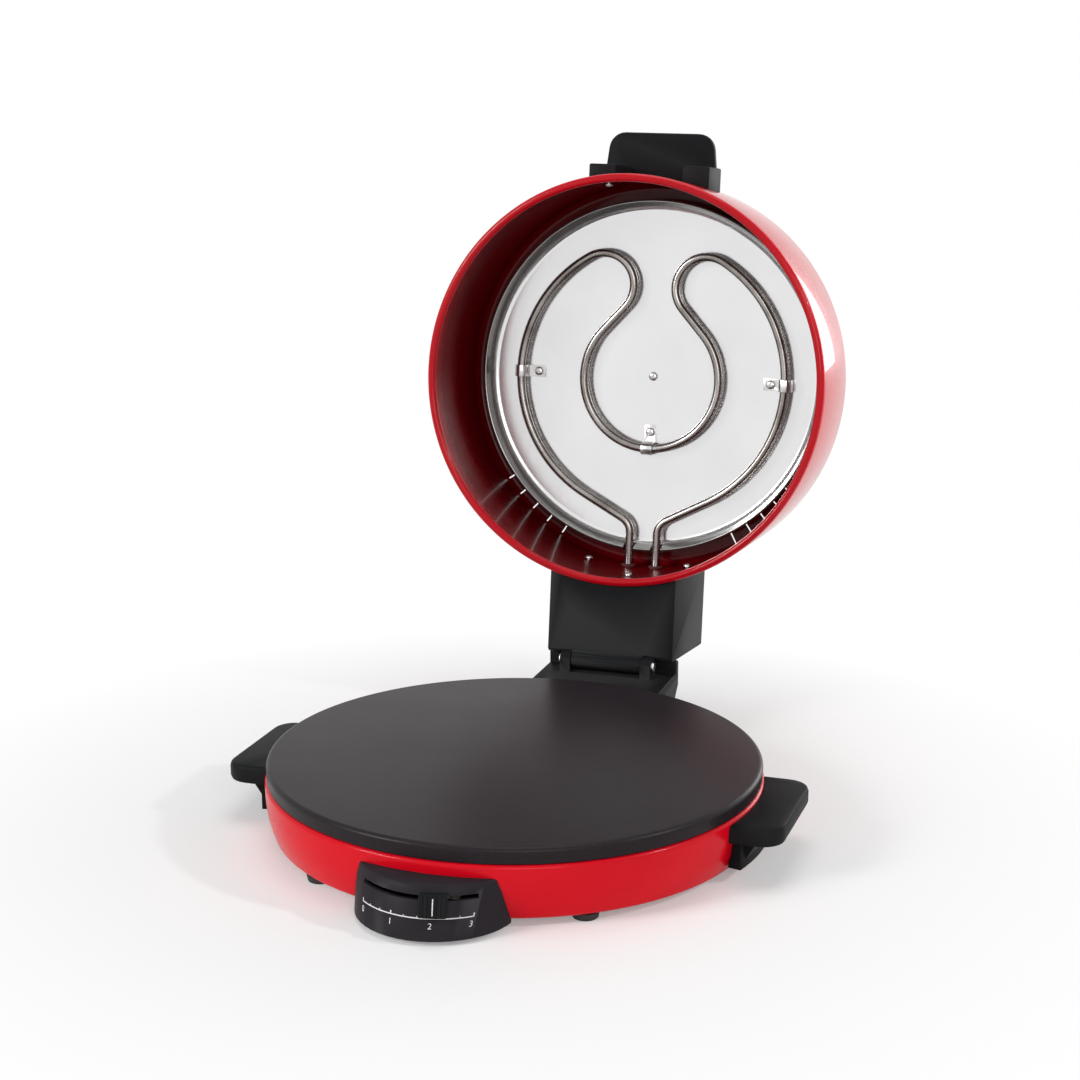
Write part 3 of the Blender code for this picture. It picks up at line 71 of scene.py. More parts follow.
# Places of the base, the open hood and the lever. All sizes are in metres.
TURN = 2 * math.pi
QUARTER = math.pi / 2
MM = 0.001
JOINTS = {joint["name"]: joint for joint in frame["joints"]}
HINGE = Vector(JOINTS["hood_hinge"]["pos_m"])
OPEN_ANGLE = math.radians(JOINTS["hood_hinge"]["range_deg"][1])
PIVOT = Vector(JOINTS["thermostat_slider"]["pos_m"])
HINGE_BACK = 211 * MM
BASE_Y = HINGE.y - HINGE_BACK
RIM_HEIGHT = 53.5 * MM
LEVER_REST = math.radians(14)
BASE = Matrix.Translation((0, BASE_Y, 0))
SHUT_HOOD = Matrix.Translation((0, BASE_Y, RIM_HEIGHT))
OPENING = Matrix.Translation(HINGE) @ Matrix.Rotation(-OPEN_ANGLE, 4, "X") @ Matrix.Translation(-HINGE)
HOOD = OPENING @ SHUT_HOOD
LEVER = Matrix.Translation((0, PIVOT.y, 0)) @ Matrix.Rotation(LEVER_REST, 4, "Z")
HOOD_RADIUS = 153 * MM
HOOD_TOP_RADIUS = 150.5 * MM
HOOD_DEPTH = 103 * MM


# Shaders

def shader_nodes(name):
    finish = bpy.data.materials.new(name)
    finish.use_nodes = True
    tree = finish.node_tree
    return finish, tree, tree.nodes["Principled BSDF"]


def add(tree, kind, links=(), **values):
    """Adds a node: values go on its inputs or its own settings, and links are (input, output socket)."""
    node = tree.nodes.new(kind)
    for key, value in values.items():
        if key in node.inputs:
            node.inputs[key].default_value = value
        else:
            setattr(node, key, value)
    for socket, source in links:
        tree.links.new(source, node.inputs[socket])
    return node


def spots(tree, where, scale, detail=2.0, roughness=0.5):
    links = [("Vector", where)]
    return add(tree, "ShaderNodeTexNoise", links, Scale=scale, Detail=detail, Roughness=roughness)


def between(tree, source, low, high, start=0.0, end=1.0):
    node = add(tree, "ShaderNodeMapRange", [("Value", source)])
    node.inputs["From Min"].default_value = start
    node.inputs["From Max"].default_value = end
    node.inputs["To Min"].default_value = low
    node.inputs["To Max"].default_value = high
    return node.outputs["Result"]


def tints(tree, source, *stops):
    """Colour ramp through (place, colour) stops."""
    ramp = add(tree, "ShaderNodeValToRGB", [("Fac", source)])
    elements = ramp.color_ramp.elements
    while len(elements) < len(stops):
        elements.new(0.5)
    for element, (place, colour) in zip(elements, stops):
        element.position = place
        element.color = (*colour, 1)
    return ramp.outputs["Color"]


def bumps(tree, height, strength, distance, normal=None):
    links = [("Height", height)] + ([("Normal", normal)] if normal else [])
    return add(tree, "ShaderNodeBump", links, Strength=strength, Distance=distance).outputs["Normal"]


def object_place(tree):
    return add(tree, "ShaderNodeTexCoord").outputs["Object"]


def enamel(name, colour, deep, coat, shine):
    """Glossy stoved paint with a slight orange peel."""
    finish, tree, shader = shader_nodes(name)
    where = object_place(tree)
    broad = spots(tree, where, 14, 3).outputs["Fac"]
    peel = spots(tree, where, 420, 1).outputs["Fac"]
    handled = spots(tree, where, 60, 4).outputs["Fac"]
    paint = tints(tree, broad, (0.3, deep), (0.7, colour))
    tree.links.new(paint, shader.inputs["Base Color"])
    tree.links.new(between(tree, handled, 0.2, 0.3), shader.inputs["Roughness"])
    tree.links.new(bumps(tree, peel, 0.05, 0.0004), shader.inputs["Normal"])
    shader.inputs["Coat Weight"].default_value = coat
    shader.inputs["Coat Roughness"].default_value = 0.04
    shader.inputs["Specular IOR Level"].default_value = shine
    return finish, tree, shader, where, paint


def in_the_hood(tree, where):
    """Distance from the drum's axis, and depth from its rim, of a place on the open hood."""
    local = add(
        tree,
        "ShaderNodeMapping",
        [("Vector", where)],
        vector_type="TEXTURE",
        Location=HOOD.to_translation(),
        Rotation=HOOD.to_euler(),
    ).outputs["Vector"]
    parts = add(tree, "ShaderNodeSeparateXYZ", [(0, local)])
    flat = add(tree, "ShaderNodeCombineXYZ", [("X", parts.outputs["X"]), ("Y", parts.outputs["Y"])])
    radius = add(tree, "ShaderNodeVectorMath", [(0, flat.outputs[0])], operation="LENGTH").outputs["Value"]
    return radius, parts.outputs["Z"]


def hood_enamel(name, colour, deep, painted_shade_colour):
    """The same paint, polished outside, with a thinner, duller coat inside the drum, where painted shade
    darkens the paint more the deeper it goes.
    """
    finish, tree, shader, where, paint = enamel(name, colour, deep, 0.2, 0.12)
    radius, depth = in_the_hood(tree, where)
    taper = (HOOD_RADIUS - HOOD_TOP_RADIUS) / HOOD_DEPTH
    reach = add(tree, "ShaderNodeMath", [(0, depth), (2, radius)], operation="MULTIPLY_ADD")
    reach.inputs[1].default_value = taper
    inside = between(tree, reach.outputs[0], 1.0, 0.0, HOOD_RADIUS - 0.9 * MM, HOOD_RADIUS - 0.6 * MM)
    outside = between(tree, reach.outputs[0], 0.0, 1.0, HOOD_RADIUS - 0.9 * MM, HOOD_RADIUS - 0.6 * MM)
    past_rim = between(tree, depth, 0.18, 0.7, 5 * MM, 8 * MM)
    polish = add(tree, "ShaderNodeMath", [(0, outside), (1, past_rim)], operation="MULTIPLY").outputs[0]
    tree.links.new(between(tree, polish, 0.16, 0.7, 0.16, 0.7), shader.inputs["Coat Weight"])
    # Painted shade: inside the drum the paint turns towards a dark shade colour, more so deeper from the
    # rim.
    shade_by_depth = between(tree, depth, 0.4, 1.0, 4 * MM, 30 * MM)
    share = add(tree, "ShaderNodeMath", [(0, inside), (1, shade_by_depth)], operation="MULTIPLY").outputs[0]
    mix = add(tree, "ShaderNodeMix", data_type="RGBA")
    tree.links.new(share, mix.inputs["Factor"])
    tree.links.new(paint, mix.inputs["A"])
    mix.inputs["B"].default_value = (*painted_shade_colour, 1)
    tree.links.new(mix.outputs["Result"], shader.inputs["Base Color"])
    return finish


def tray_metal():
    """Bright rolled aluminium, with its sloping edge painted dark as a painted reflection of the dark drum
    wall.
    """
    finish, tree, shader = shader_nodes("bright aluminium")
    where = object_place(tree)
    radius = in_the_hood(tree, where)[0]
    cloud = spots(tree, where, 22, 3).outputs["Fac"]
    mapped = add(tree, "ShaderNodeMapping", [("Vector", where)], Scale=(1, 1, 0.1)).outputs["Vector"]
    fine = spots(tree, mapped, 260, 5).outputs["Fac"]
    bright = tints(tree, cloud, (0.3, (0.78, 0.78, 0.79)), (0.7, (0.82, 0.82, 0.825)))
    # Painted reflection: the sloping edge gets a dark tone that stands for the dark drum wall it mirrors.
    painted_dark_lip = tints(tree, cloud, (0.3, (0.30, 0.30, 0.29)), (0.7, (0.38, 0.38, 0.37)))
    mix = add(tree, "ShaderNodeMix", data_type="RGBA")
    tree.links.new(between(tree, radius, 0.0, 1.0, 130.2 * MM, 131.6 * MM), mix.inputs["Factor"])
    tree.links.new(bright, mix.inputs["A"])
    tree.links.new(painted_dark_lip, mix.inputs["B"])
    tree.links.new(mix.outputs["Result"], shader.inputs["Base Color"])
    tree.links.new(between(tree, fine, 0.11, 0.2), shader.inputs["Roughness"])
    tree.links.new(bumps(tree, fine, 0.03, 0.0001), shader.inputs["Normal"])
    shader.inputs["Metallic"].default_value = 0.86
    return finish


def moulded(name, colour, roughness, grain=0.12, worn=0.06):
    """Moulded plastic with a fine spark-eroded grain, slightly paler on its edges."""
    finish, tree, shader = shader_nodes(name)
    where = object_place(tree)
    edge = add(tree, "ShaderNodeNewGeometry").outputs["Pointiness"]
    cloud = spots(tree, where, 35, 4).outputs["Fac"]
    pale = tuple(part + worn * 0.35 for part in colour)
    base = tints(tree, cloud, (0.25, tuple(part * 0.85 for part in colour)), (0.75, colour))
    mix = add(tree, "ShaderNodeMix", data_type="RGBA")
    tree.links.new(between(tree, edge, 0.0, 1.0, 0.53, 0.62), mix.inputs["Factor"])
    tree.links.new(base, mix.inputs["A"])
    mix.inputs["B"].default_value = (*pale, 1)
    tree.links.new(mix.outputs["Result"], shader.inputs["Base Color"])
    pits = spots(tree, where, 2600, 2).outputs["Fac"]
    tree.links.new(between(tree, cloud, roughness - 0.05, roughness + 0.07), shader.inputs["Roughness"])
    tree.links.new(bumps(tree, pits, grain, 0.0002), shader.inputs["Normal"])
    shader.inputs["Specular IOR Level"].default_value = 0.045
    return finish


def metal(name, colour, roughness, grain_scale, stretch=(1, 1, 1), tint=None, bump=0.08, metallic=1.0):
    """Bare metal with a fine drawn grain along the axes that the stretch leaves long."""
    finish, tree, shader = shader_nodes(name)
    where = object_place(tree)
    mapped = add(tree, "ShaderNodeMapping", [("Vector", where)], Scale=stretch).outputs["Vector"]
    grain = spots(tree, mapped, grain_scale, 5, 0.6).outputs["Fac"]
    cloud = spots(tree, where, 22, 3).outputs["Fac"]
    dark = tint or tuple(part * 0.86 for part in colour)
    tree.links.new(tints(tree, cloud, (0.3, dark), (0.7, colour)), shader.inputs["Base Color"])
    tree.links.new(between(tree, grain, roughness - 0.06, roughness + 0.08), shader.inputs["Roughness"])
    tree.links.new(bumps(tree, grain, bump, 0.0001), shader.inputs["Normal"])
    shader.inputs["Metallic"].default_value = metallic
    return finish


def plate_coating():
    """Black non-stick coat: fine speckle over a faintly turned surface."""
    finish, tree, shader = shader_nodes("nonstick coating")
    where = object_place(tree)
    links = [("Vector", where)]
    centred = add(tree, "ShaderNodeMapping", links, Location=(0, -BASE_Y, 0)).outputs["Vector"]
    rings = add(
        tree,
        "ShaderNodeTexWave",
        [("Vector", centred)],
        wave_type="RINGS",
        rings_direction="Z",
        Scale=420,
        Distortion=0.6,
        Detail=2,
    ).outputs["Fac"]
    speck = spots(tree, where, 1500, 3, 0.7).outputs["Fac"]
    cloud = spots(tree, where, 18, 4).outputs["Fac"]
    colour = tints(
        tree,
        speck,
        (0.35, (0.012, 0.0095, 0.011)),
        (0.62, (0.022, 0.017, 0.02)),
        (0.8, (0.05, 0.042, 0.047)),
    )
    tree.links.new(colour, shader.inputs["Base Color"])
    tree.links.new(between(tree, cloud, 0.27, 0.38), shader.inputs["Roughness"])
    turned = bumps(tree, rings, 0.03, 0.0001)
    tree.links.new(bumps(tree, speck, 0.12, 0.00015, turned), shader.inputs["Normal"])
    shader.inputs["Specular IOR Level"].default_value = 0.1
    return finish


def element_sheath(centre):
    """Drawn steel sheath with the straw and brown tints of heat, greyer at its cold ends."""
    finish, tree, shader = shader_nodes("element sheath")
    where = object_place(tree)
    mapped = add(tree, "ShaderNodeMapping", [("Vector", where)], Location=-centre).outputs["Vector"]
    reach = add(tree, "ShaderNodeVectorMath", [(0, mapped)], operation="LENGTH").outputs["Value"]
    cloud = spots(tree, where, 45, 4).outputs["Fac"]
    hot = tints(
        tree,
        cloud,
        (0.3, (0.17, 0.15, 0.135)),
        (0.5, (0.28, 0.265, 0.25)),
        (0.75, (0.4, 0.385, 0.37)),
    )
    mix = add(tree, "ShaderNodeMix", data_type="RGBA")
    tree.links.new(between(tree, reach, 0.0, 1.0, 0.118, 0.14), mix.inputs["Factor"])
    tree.links.new(hot, mix.inputs["A"])
    mix.inputs["B"].default_value = (0.42, 0.40, 0.39, 1)
    tree.links.new(mix.outputs["Result"], shader.inputs["Base Color"])
    fine = spots(tree, where, 900, 4).outputs["Fac"]
    tree.links.new(between(tree, fine, 0.22, 0.32), shader.inputs["Roughness"])
    tree.links.new(bumps(tree, fine, 0.015, 0.0001), shader.inputs["Normal"])
    shader.inputs["Metallic"].default_value = 1
    return finish


def rubbery(name, colour):
    """Dull rubber or fired clay, mottled a little."""
    finish, tree, shader = shader_nodes(name)
    where = object_place(tree)
    fine = spots(tree, where, 1800, 3).outputs["Fac"]
    cloud = spots(tree, where, 70, 3).outputs["Fac"]
    dark = tuple(part * 0.7 for part in colour)
    tree.links.new(tints(tree, cloud, (0.3, dark), (0.7, colour)), shader.inputs["Base Color"])
    tree.links.new(between(tree, cloud, 0.7, 0.85), shader.inputs["Roughness"])
    tree.links.new(bumps(tree, fine, 0.15, 0.0002), shader.inputs["Normal"])
    return finish


def print_ink():
    """White print, a little thin in places."""
    finish, tree, shader = shader_nodes("white pad print")
    where = object_place(tree)
    worn = spots(tree, where, 900, 4).outputs["Fac"]
    white = tints(tree, worn, (0.3, (0.5, 0.5, 0.5)), (0.6, (0.78, 0.78, 0.78)))
    tree.links.new(white, shader.inputs["Base Color"])
    shader.inputs["Roughness"].default_value = 0.5
    return finish


HOOD_MIDDLE = HOOD @ Vector((0, 0, 84.6 * MM))
RED = enamel("red enamel", (0.66, 0.002, 0.012), (0.6, 0.0015, 0.01), 0.12, 0.08)[0]
# The hood's last colour is painted shade for the inside of the drum.
HOOD_RED = hood_enamel("hood enamel", (0.66, 0.002, 0.012), (0.58, 0.0015, 0.009), (0.13, 0.0008, 0.003))
COATING = plate_coating()
PLASTIC = moulded("black plastic", (0.0095, 0.01, 0.011), 0.46)
PANEL_PLASTIC = moulded("panel plastic", (0.024, 0.0205, 0.0245), 0.4, 0.06)
TRAY_METAL = tray_metal()
PLAIN_ALUMINIUM = metal("plain aluminium", (0.78, 0.78, 0.785), 0.28, 260, (1, 1, 0.1), metallic=0.95)
SCREW_METAL = metal("bright screw steel", (0.62, 0.61, 0.6), 0.27, 900)
ZINC = metal("zinc plate", (0.50, 0.51, 0.53), 0.42, 500, tint=(0.38, 0.39, 0.42))
SHEATH = element_sheath(HOOD_MIDDLE)
RUBBER = rubbery("foot rubber", (0.022, 0.022, 0.022))
CERAMIC = rubbery("glazed ceramic", (0.72, 0.69, 0.63))
BROWN_CERAMIC = rubbery("brown fired ceramic", (0.10, 0.022, 0.02))
COVER_PAINT = moulded("black cover paint", (0.028, 0.028, 0.03), 0.5, 0.2)
INK = print_ink()
FINISHES = {
    "red_paint": RED,
    "nonstick": COATING,
    "black_plastic": PLASTIC,
    "aluminium": PLAIN_ALUMINIUM,
    "steel": SCREW_METAL,
    "element_steel": SHEATH,
    "zinc": ZINC,
    "rubber": RUBBER,
    "ceramic": CERAMIC,
    "black_steel": COVER_PAINT,
}


# Shaping helpers

def around(radius, angle):
    """Point at an angle from +Y towards +X."""
    return Vector((radius * math.sin(angle), radius * math.cos(angle)))


def arc(centre, radius, start, end, steps):
    return [Vector(centre) + around(radius, start + (end - start) * i / steps) for i in range(steps + 1)]


def rounded(corners, steps=6):
    """Outline through corners given as (x, y, radius)."""
    points = []
    for i, (x, y, radius) in enumerate(corners):
        here = Vector((x, y))
        if not radius:
            points.append(here)
            continue
        back = (Vector(corners[i - 1][:2]) - here).normalized()
        ahead = (Vector(corners[(i + 1) % len(corners)][:2]) - here).normalized()
        half = back.angle(ahead) / 2
        centre = here + (back + ahead).normalized() * radius / math.sin(half)
        first = here + back * radius / math.tan(half) - centre
        last = here + ahead * radius / math.tan(half) - centre
        sweep = first.angle_signed(last)
        points += [centre + Matrix.Rotation(-sweep * j / steps, 2) @ first for j in range(steps + 1)]
    return points


def thick(path, wall):
    """Closed profile of a bent sheet, with its second face to the left of travel."""
    path = [Vector(point) for point in path]
    other = []
    for i, point in enumerate(path):
        before = (point - path[i - 1]).normalized() if i else (path[1] - point).normalized()
        after = (path[i + 1] - point).normalized() if i + 1 < len(path) else before
        side = (Vector((-before.y, before.x)) + Vector((-after.y, after.x))).normalized()
        other.append(point + side * wall / side.dot(Vector((-after.y, after.x))))
    return path + other[::-1]


def spun(profile, steps, ring=True, centre=(0, 0), half_angle=None, middle=0):
    """Turns a profile of (radius, z): all round, or to each side of an angle from -Y towards +X."""
    bm = bmesh.new()
    start = middle - half_angle if half_angle else 0
    place = Matrix.Translation((*centre, 0)) @ Matrix.Rotation(start - QUARTER, 4, "Z")
    points = [bm.verts.new(place @ Vector((radius, 0, z))) for radius, z in profile]
    pairs = list(zip(points, points[1:])) + ([(points[-1], points[0])] if ring else [])
    edges = [bm.edges.new(pair) for pair in pairs]
    bmesh.ops.spin(
        bm,
        geom=points + edges,
        cent=(*centre, 0),
        axis=(0, 0, 1),
        angle=2 * half_angle if half_angle else TURN,
        steps=steps,
        use_merge=not half_angle,
    )
    bmesh.ops.remove_doubles(bm, verts=bm.verts[:], dist=0.002 * MM)
    if half_angle:
        bmesh.ops.holes_fill(bm, edges=[edge for edge in bm.edges if edge.is_boundary], sides=0)
    bmesh.ops.recalc_face_normals(bm, faces=bm.faces[:])
    return bm


def raised(outline, low, high, place=Matrix()):
    """Extrudes an outline from one height to another."""
    bm = bmesh.new()
    face = bm.faces.new([bm.verts.new((x, y, low)) for x, y in outline])
    lifted = bmesh.ops.extrude_face_region(bm, geom=[face])["geom"]
    top = [thing for thing in lifted if isinstance(thing, bmesh.types.BMVert)]
    bmesh.ops.translate(bm, vec=(0, 0, high - low), verts=top)
    bmesh.ops.transform(bm, matrix=place, verts=bm.verts[:])
    bmesh.ops.recalc_face_normals(bm, faces=bm.faces[:])
    return bm


def block(low, high, place=Matrix()):
    bm = bmesh.new()
    size = Vector(high) - Vector(low)
    middle = (Vector(high) + Vector(low)) / 2
    matrix = place @ Matrix.Translation(middle) @ Matrix.Diagonal((*size, 1))
    bmesh.ops.create_cube(bm, size=1, matrix=matrix)
    return bm


def rod(radius, start, end, place, steps=32):
    bm = bmesh.new()
    matrix = place @ Matrix.Translation((0, 0, (start + end) / 2))
    bmesh.ops.create_cone(
        bm, cap_ends=True, segments=steps, radius1=radius, radius2=radius, depth=end - start, matrix=matrix
    )
    return bm


def along(point, direction):
    return Matrix.Translation(point) @ Vector(direction).to_track_quat("Z", "Y").to_matrix().to_4x4()


def joined(*shapes):
    """Puts several loose shapes in one bmesh."""
    whole = bmesh.new()
    for shape in shapes:
        mesh = bpy.data.meshes.new("shape")
        shape.to_mesh(mesh)
        shape.free()
        whole.from_mesh(mesh)
        bpy.data.meshes.remove(mesh)
    return whole


def combined(body, tool, operation="DIFFERENCE"):
    """The body with a tool shape cut from it or joined to it."""
    things = []
    for shape in (body, tool):
        bmesh.ops.recalc_face_normals(shape, faces=shape.faces[:])
        mesh = bpy.data.meshes.new("shape")
        shape.to_mesh(mesh)
        shape.free()
        thing = bpy.data.objects.new("shape", mesh)
        bpy.context.scene.collection.objects.link(thing)
        things.append(thing)
    change = things[0].modifiers.new("change", "BOOLEAN")
    change.operation = operation
    change.solver = "EXACT"
    change.object = things[1]
    bpy.context.view_layer.update()
    seen = things[0].evaluated_get(bpy.context.evaluated_depsgraph_get())
    result = bmesh.new()
    result.from_mesh(seen.to_mesh())
    seen.to_mesh_clear()
    for thing in things:
        mesh = thing.data
        bpy.data.objects.remove(thing)
        bpy.data.meshes.remove(mesh)
    bmesh.ops.remove_doubles(result, verts=result.verts[:], dist=0.002 * MM)
    return result


def bevelled(bm, width, segments=3, angle=28):
    """Rounds every edge that turns more than an angle."""
    bmesh.ops.dissolve_limit(bm, angle_limit=math.radians(0.6), verts=bm.verts[:], edges=bm.edges[:])
    sharp = [edge for edge in bm.edges if edge.is_manifold and edge.calc_face_angle() > math.radians(angle)]
    bmesh.ops.bevel(
        bm,
        geom=sharp,
        offset=width,
        offset_type="OFFSET",
        affect="EDGES",
        segments=segments,
        profile=0.5,
        material=-1,
        clamp_overlap=True,
    )
    return bm


def cad_copy(node):
    """A CAD node's shape, with its loose triangles merged."""
    bm = bmesh.new()
    bm.from_mesh(frame["nodes"][node].data)
    bmesh.ops.remove_doubles(bm, verts=bm.verts[:], dist=0.004 * MM)
    return bm


def piece(name, bm, finish, body, place=BASE, replaced=(), sharp=32):
    """Makes an object of a shape, in place, riding on a body."""
    bmesh.ops.transform(bm, matrix=place, verts=bm.verts[:])
    mesh = bpy.data.meshes.new(name)
    bm.to_mesh(mesh)
    bm.free()
    mesh.shade_smooth()
    mesh.set_sharp_from_angle(angle=math.radians(sharp))
    mesh.materials.append(finish)
    thing = bpy.data.objects.new(name, mesh)
    bpy.context.scene.collection.objects.link(thing)
    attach(thing, body)
    if replaced:
        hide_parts(*replaced)
    return thing


def refined(node, width, finish, segments=3, angle=28, name=None):
    """A CAD node with its edges rounded as moulded."""
    bm = bevelled(cad_copy(node), width, segments, angle)
    return piece(name or node + "_moulding", bm, finish, BODY_OF[node], Matrix(), (node,))


# Base

BASE_TOP = 42 * MM
BASE_BOTTOM = 5 * MM
BASE_RADIUS = 166 * MM
PLATE_TOP = 53 * MM
SHEET = 1.2 * MM


def base_profile():
    """Outer face of the base shell, from its turned-in lip to its bottom flange."""
    corners = [
        (158.5 * MM, BASE_TOP, 0),
        (BASE_RADIUS, BASE_TOP, 2.5 * MM),
        (165.58 * MM, 29.05 * MM, 60 * MM),
        (164.26 * MM, 17.95 * MM, 60 * MM),
        (160 * MM, BASE_BOTTOM, 4 * MM),
        (146 * MM, BASE_BOTTOM, 0),
    ]
    return rounded(corners, 8)


def make_base_shell():
    shell = spun(thick(base_profile(), -SHEET), 240)
    window = block((-44 * MM, -170 * MM, 11 * MM), (44 * MM, -131 * MM, 33 * MM))
    piece("base_pressing", combined(shell, window), RED, "base", replaced=("base_shell",))


def make_hot_plate():
    corners = [
        (0, PLATE_TOP, 0),
        (165.2 * MM, PLATE_TOP, 3.2 * MM),
        (164.4 * MM, BASE_TOP + 0.3 * MM, 0.6 * MM),
        (159.9 * MM, BASE_TOP + 0.3 * MM, 0),
        (159.9 * MM, 47 * MM, 0),
        (0, 47 * MM, 0),
    ]
    plate = spun(rounded(corners, 10), 288, ring=False)
    piece("coated_plate", plate, COATING, "base", replaced=("hot_plate",))


PANEL_TOP = 34 * MM
PANEL_BOTTOM = 3 * MM
PANEL_TOP_Y = -126.5 * MM
PANEL_BOTTOM_Y = -144 * MM
PANEL_TOP_RADIUS = 55.5 * MM
PANEL_BOTTOM_RADIUS = 51 * MM


def panel_point(angle, height, lift=0.0):
    """Point on the panel's face at an angle from straight ahead, with a lift off the face."""
    share = (PANEL_TOP - height) / (PANEL_TOP - PANEL_BOTTOM)
    radius = PANEL_TOP_RADIUS + (PANEL_BOTTOM_RADIUS - PANEL_TOP_RADIUS) * share + lift
    middle = PANEL_TOP_Y + (PANEL_BOTTOM_Y - PANEL_TOP_Y) * share
    return Vector((radius * math.sin(angle), middle - radius * math.cos(angle), height + lift * 0.4))


def wrapped(bm, height, angle):
    """Lays a flat shape, drawn in x and y with its thickness in z, on the panel's face."""
    for vert in bm.verts:
        x, y, lift = vert.co
        vert.co = panel_point(angle + x / (53 * MM), height + y * 0.88, lift)
    return bm


def digit(text, size):
    """A plain numeral as a thin raised print."""
    curve = bpy.data.curves.new("digit", "FONT")
    curve.body = text
    curve.size = size
    curve.align_x = "CENTER"
    curve.align_y = "CENTER"
    curve.extrude = 0.04 * MM
    curve.resolution_u = 4
    thing = bpy.data.objects.new("digit", curve)
    bpy.context.scene.collection.objects.link(thing)
    bpy.context.view_layer.update()
    seen = thing.evaluated_get(bpy.context.evaluated_depsgraph_get())
    bm = bmesh.new()
    bm.from_mesh(seen.to_mesh())
    seen.to_mesh_clear()
    bpy.data.objects.remove(thing)
    bpy.data.curves.remove(curve)
    return bm


def strip(start, end, width, steps):
    """A thin bar for the face's print, cut into short lengths so that it can bend."""
    bm = block((start, -width / 2, 0), (end, width / 2, 0.08 * MM))
    for i in range(1, steps):
        place = (start + (end - start) * i / steps, 0, 0)
        whole = bm.verts[:] + bm.edges[:] + bm.faces[:]
        bmesh.ops.bisect_plane(bm, geom=whole, plane_co=place, plane_no=(1, 0, 0))
    return bm


def make_control_panel():
    refined("control_panel", 0.7 * MM, PANEL_PLASTIC)
    lift = 0.02 * MM
    marks = [wrapped(strip(-39 * MM, 39 * MM, 0.7 * MM, 40), 15.6 * MM, 0)]
    for x in (-39, -13, 13, 39):
        marks.append(wrapped(strip((x - 0.4) * MM, (x + 0.4) * MM, 2.4 * MM, 1), 16.4 * MM, 0))
    for x in (-30.3, -21.7, -4.3, 4.3, 21.7, 30.3):
        marks.append(wrapped(strip((x - 0.25) * MM, (x + 0.25) * MM, 1.4 * MM, 1), 16.1 * MM, 0))
    for text, x in (("0", -38.6), ("1", -13), ("2", 13), ("3", 38.4)):
        numeral = digit(text, 5.4 * MM)
        bmesh.ops.translate(numeral, vec=(0, 0, 0.04 * MM), verts=numeral.verts[:])
        marks.append(wrapped(numeral, 11.4 * MM, x / 53))
    scale = joined(*marks)
    bmesh.ops.translate(scale, vec=(0, -lift, 0), verts=scale.verts[:])
    print_piece = piece("panel_scale", scale, INK, "base")


def make_knob():
    """Slider's grip: a curved block with four finger grooves and a white pointer line."""
    low, high = 17.6 * MM, 30.6 * MM
    half = math.radians(8.5)
    middle = PANEL_TOP_Y - PIVOT.y + BASE_Y

    def face(height, lift):
        share = (PANEL_TOP - height) / (PANEL_TOP - PANEL_BOTTOM)
        return PANEL_TOP_RADIUS + (PANEL_BOTTOM_RADIUS - PANEL_TOP_RADIUS) * share + lift

    def down_the_face(angle, radius, sunk, margin):
        foot, head = [
            Vector((spot * math.sin(angle), middle - spot * math.cos(angle), height))
            for spot, height in ((face(low, outer) - sunk, low), (face(high, outer) - sunk, high))
        ]
        return rod(radius, margin, (head - foot).length - margin, along(foot, head - foot), 16)

    inner, outer = 1.0 * MM, 6.0 * MM
    profile = [(face(low, inner), low), (face(low, outer), low)]
    profile += [(face(high, outer), high), (face(high, inner), high)]
    grip = bevelled(spun(profile, 10, centre=(0, middle), half_angle=half), 1.1 * MM, 4)
    shares = (-0.62, -0.31, 0.31, 0.62)
    grooves = [down_the_face(half * share, 0.85 * MM, -0.35 * MM, -2 * MM) for share in shares]
    grip = combined(grip, joined(*grooves))
    pointer = down_the_face(0, 0.5 * MM, 0.36 * MM, 1.9 * MM)
    slope = (PANEL_TOP_Y - PANEL_BOTTOM_Y) / (PANEL_TOP - PANEL_BOTTOM)
    shear = Matrix(((1, 0, 0, 0), (0, 1, slope, -slope * PANEL_TOP), (0, 0, 1, 0), (0, 0, 0, 1)))
    piece("slider_grip", grip, PLASTIC, "lever", LEVER @ shear, ("lever_knob",))
    piece("slider_pointer", pointer, INK, "lever", LEVER @ shear)


def make_cover():
    cover = cad_copy("bottom_cover")
    piece("cover_pressing", bevelled(cover, 0.3 * MM, 2), COVER_PAINT, "base", Matrix(), ("bottom_cover",))


def make_feet():
    for node in ("foot_front_left", "foot_front_right", "foot_rear_left", "foot_rear_right"):
        low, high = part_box(node)
        middle = (low + high) / 2
        top = high.z
        corners = [(0, top, 0), (9 * MM, top, 0.3 * MM), (8 * MM, 0, 1 * MM), (3 * MM, 0, 0.4 * MM)]
        corners += [(2.6 * MM, 1.2 * MM, 0.3 * MM), (0, 1.2 * MM, 0)]
        bm = spun(rounded(corners, 4), 48, ring=False)
        piece(node + "_pad", bm, RUBBER, "base", Matrix.Translation((middle.x, middle.y, 0)), (node,))


# Hood

TRAY_FLOOR = 92.6 * MM
TRAY_LIP = 80 * MM
ELEMENT_DEPTH = 84.6 * MM
LEG_X = 11 * MM
COLLAR_SEAT = 17.4 * MM


def drum_radius(depth):
    share = (depth - 3 * MM) / (HOOD_DEPTH - 10 * MM)
    return HOOD_RADIUS + (HOOD_TOP_RADIUS - HOOD_RADIUS) * share


def drum_profile():
    """Outer face of the drum, from the end of its rolled rim to the middle of its top."""
    middle = HOOD_RADIUS - 3 * MM
    roll = [
        (middle + 3 * MM * math.cos(math.radians(a)), 3 * MM + 3 * MM * math.sin(math.radians(a)))
        for a in range(130, 361, 15)
    ]
    corners = [(drum_radius(96 * MM), 0, 0), (HOOD_TOP_RADIUS, HOOD_DEPTH, 7 * MM), (0, HOOD_DEPTH, 0)]
    corner = rounded(corners, 10)
    return roll + [tuple(point) for point in corner[1:-1]] + [(0, HOOD_DEPTH)]


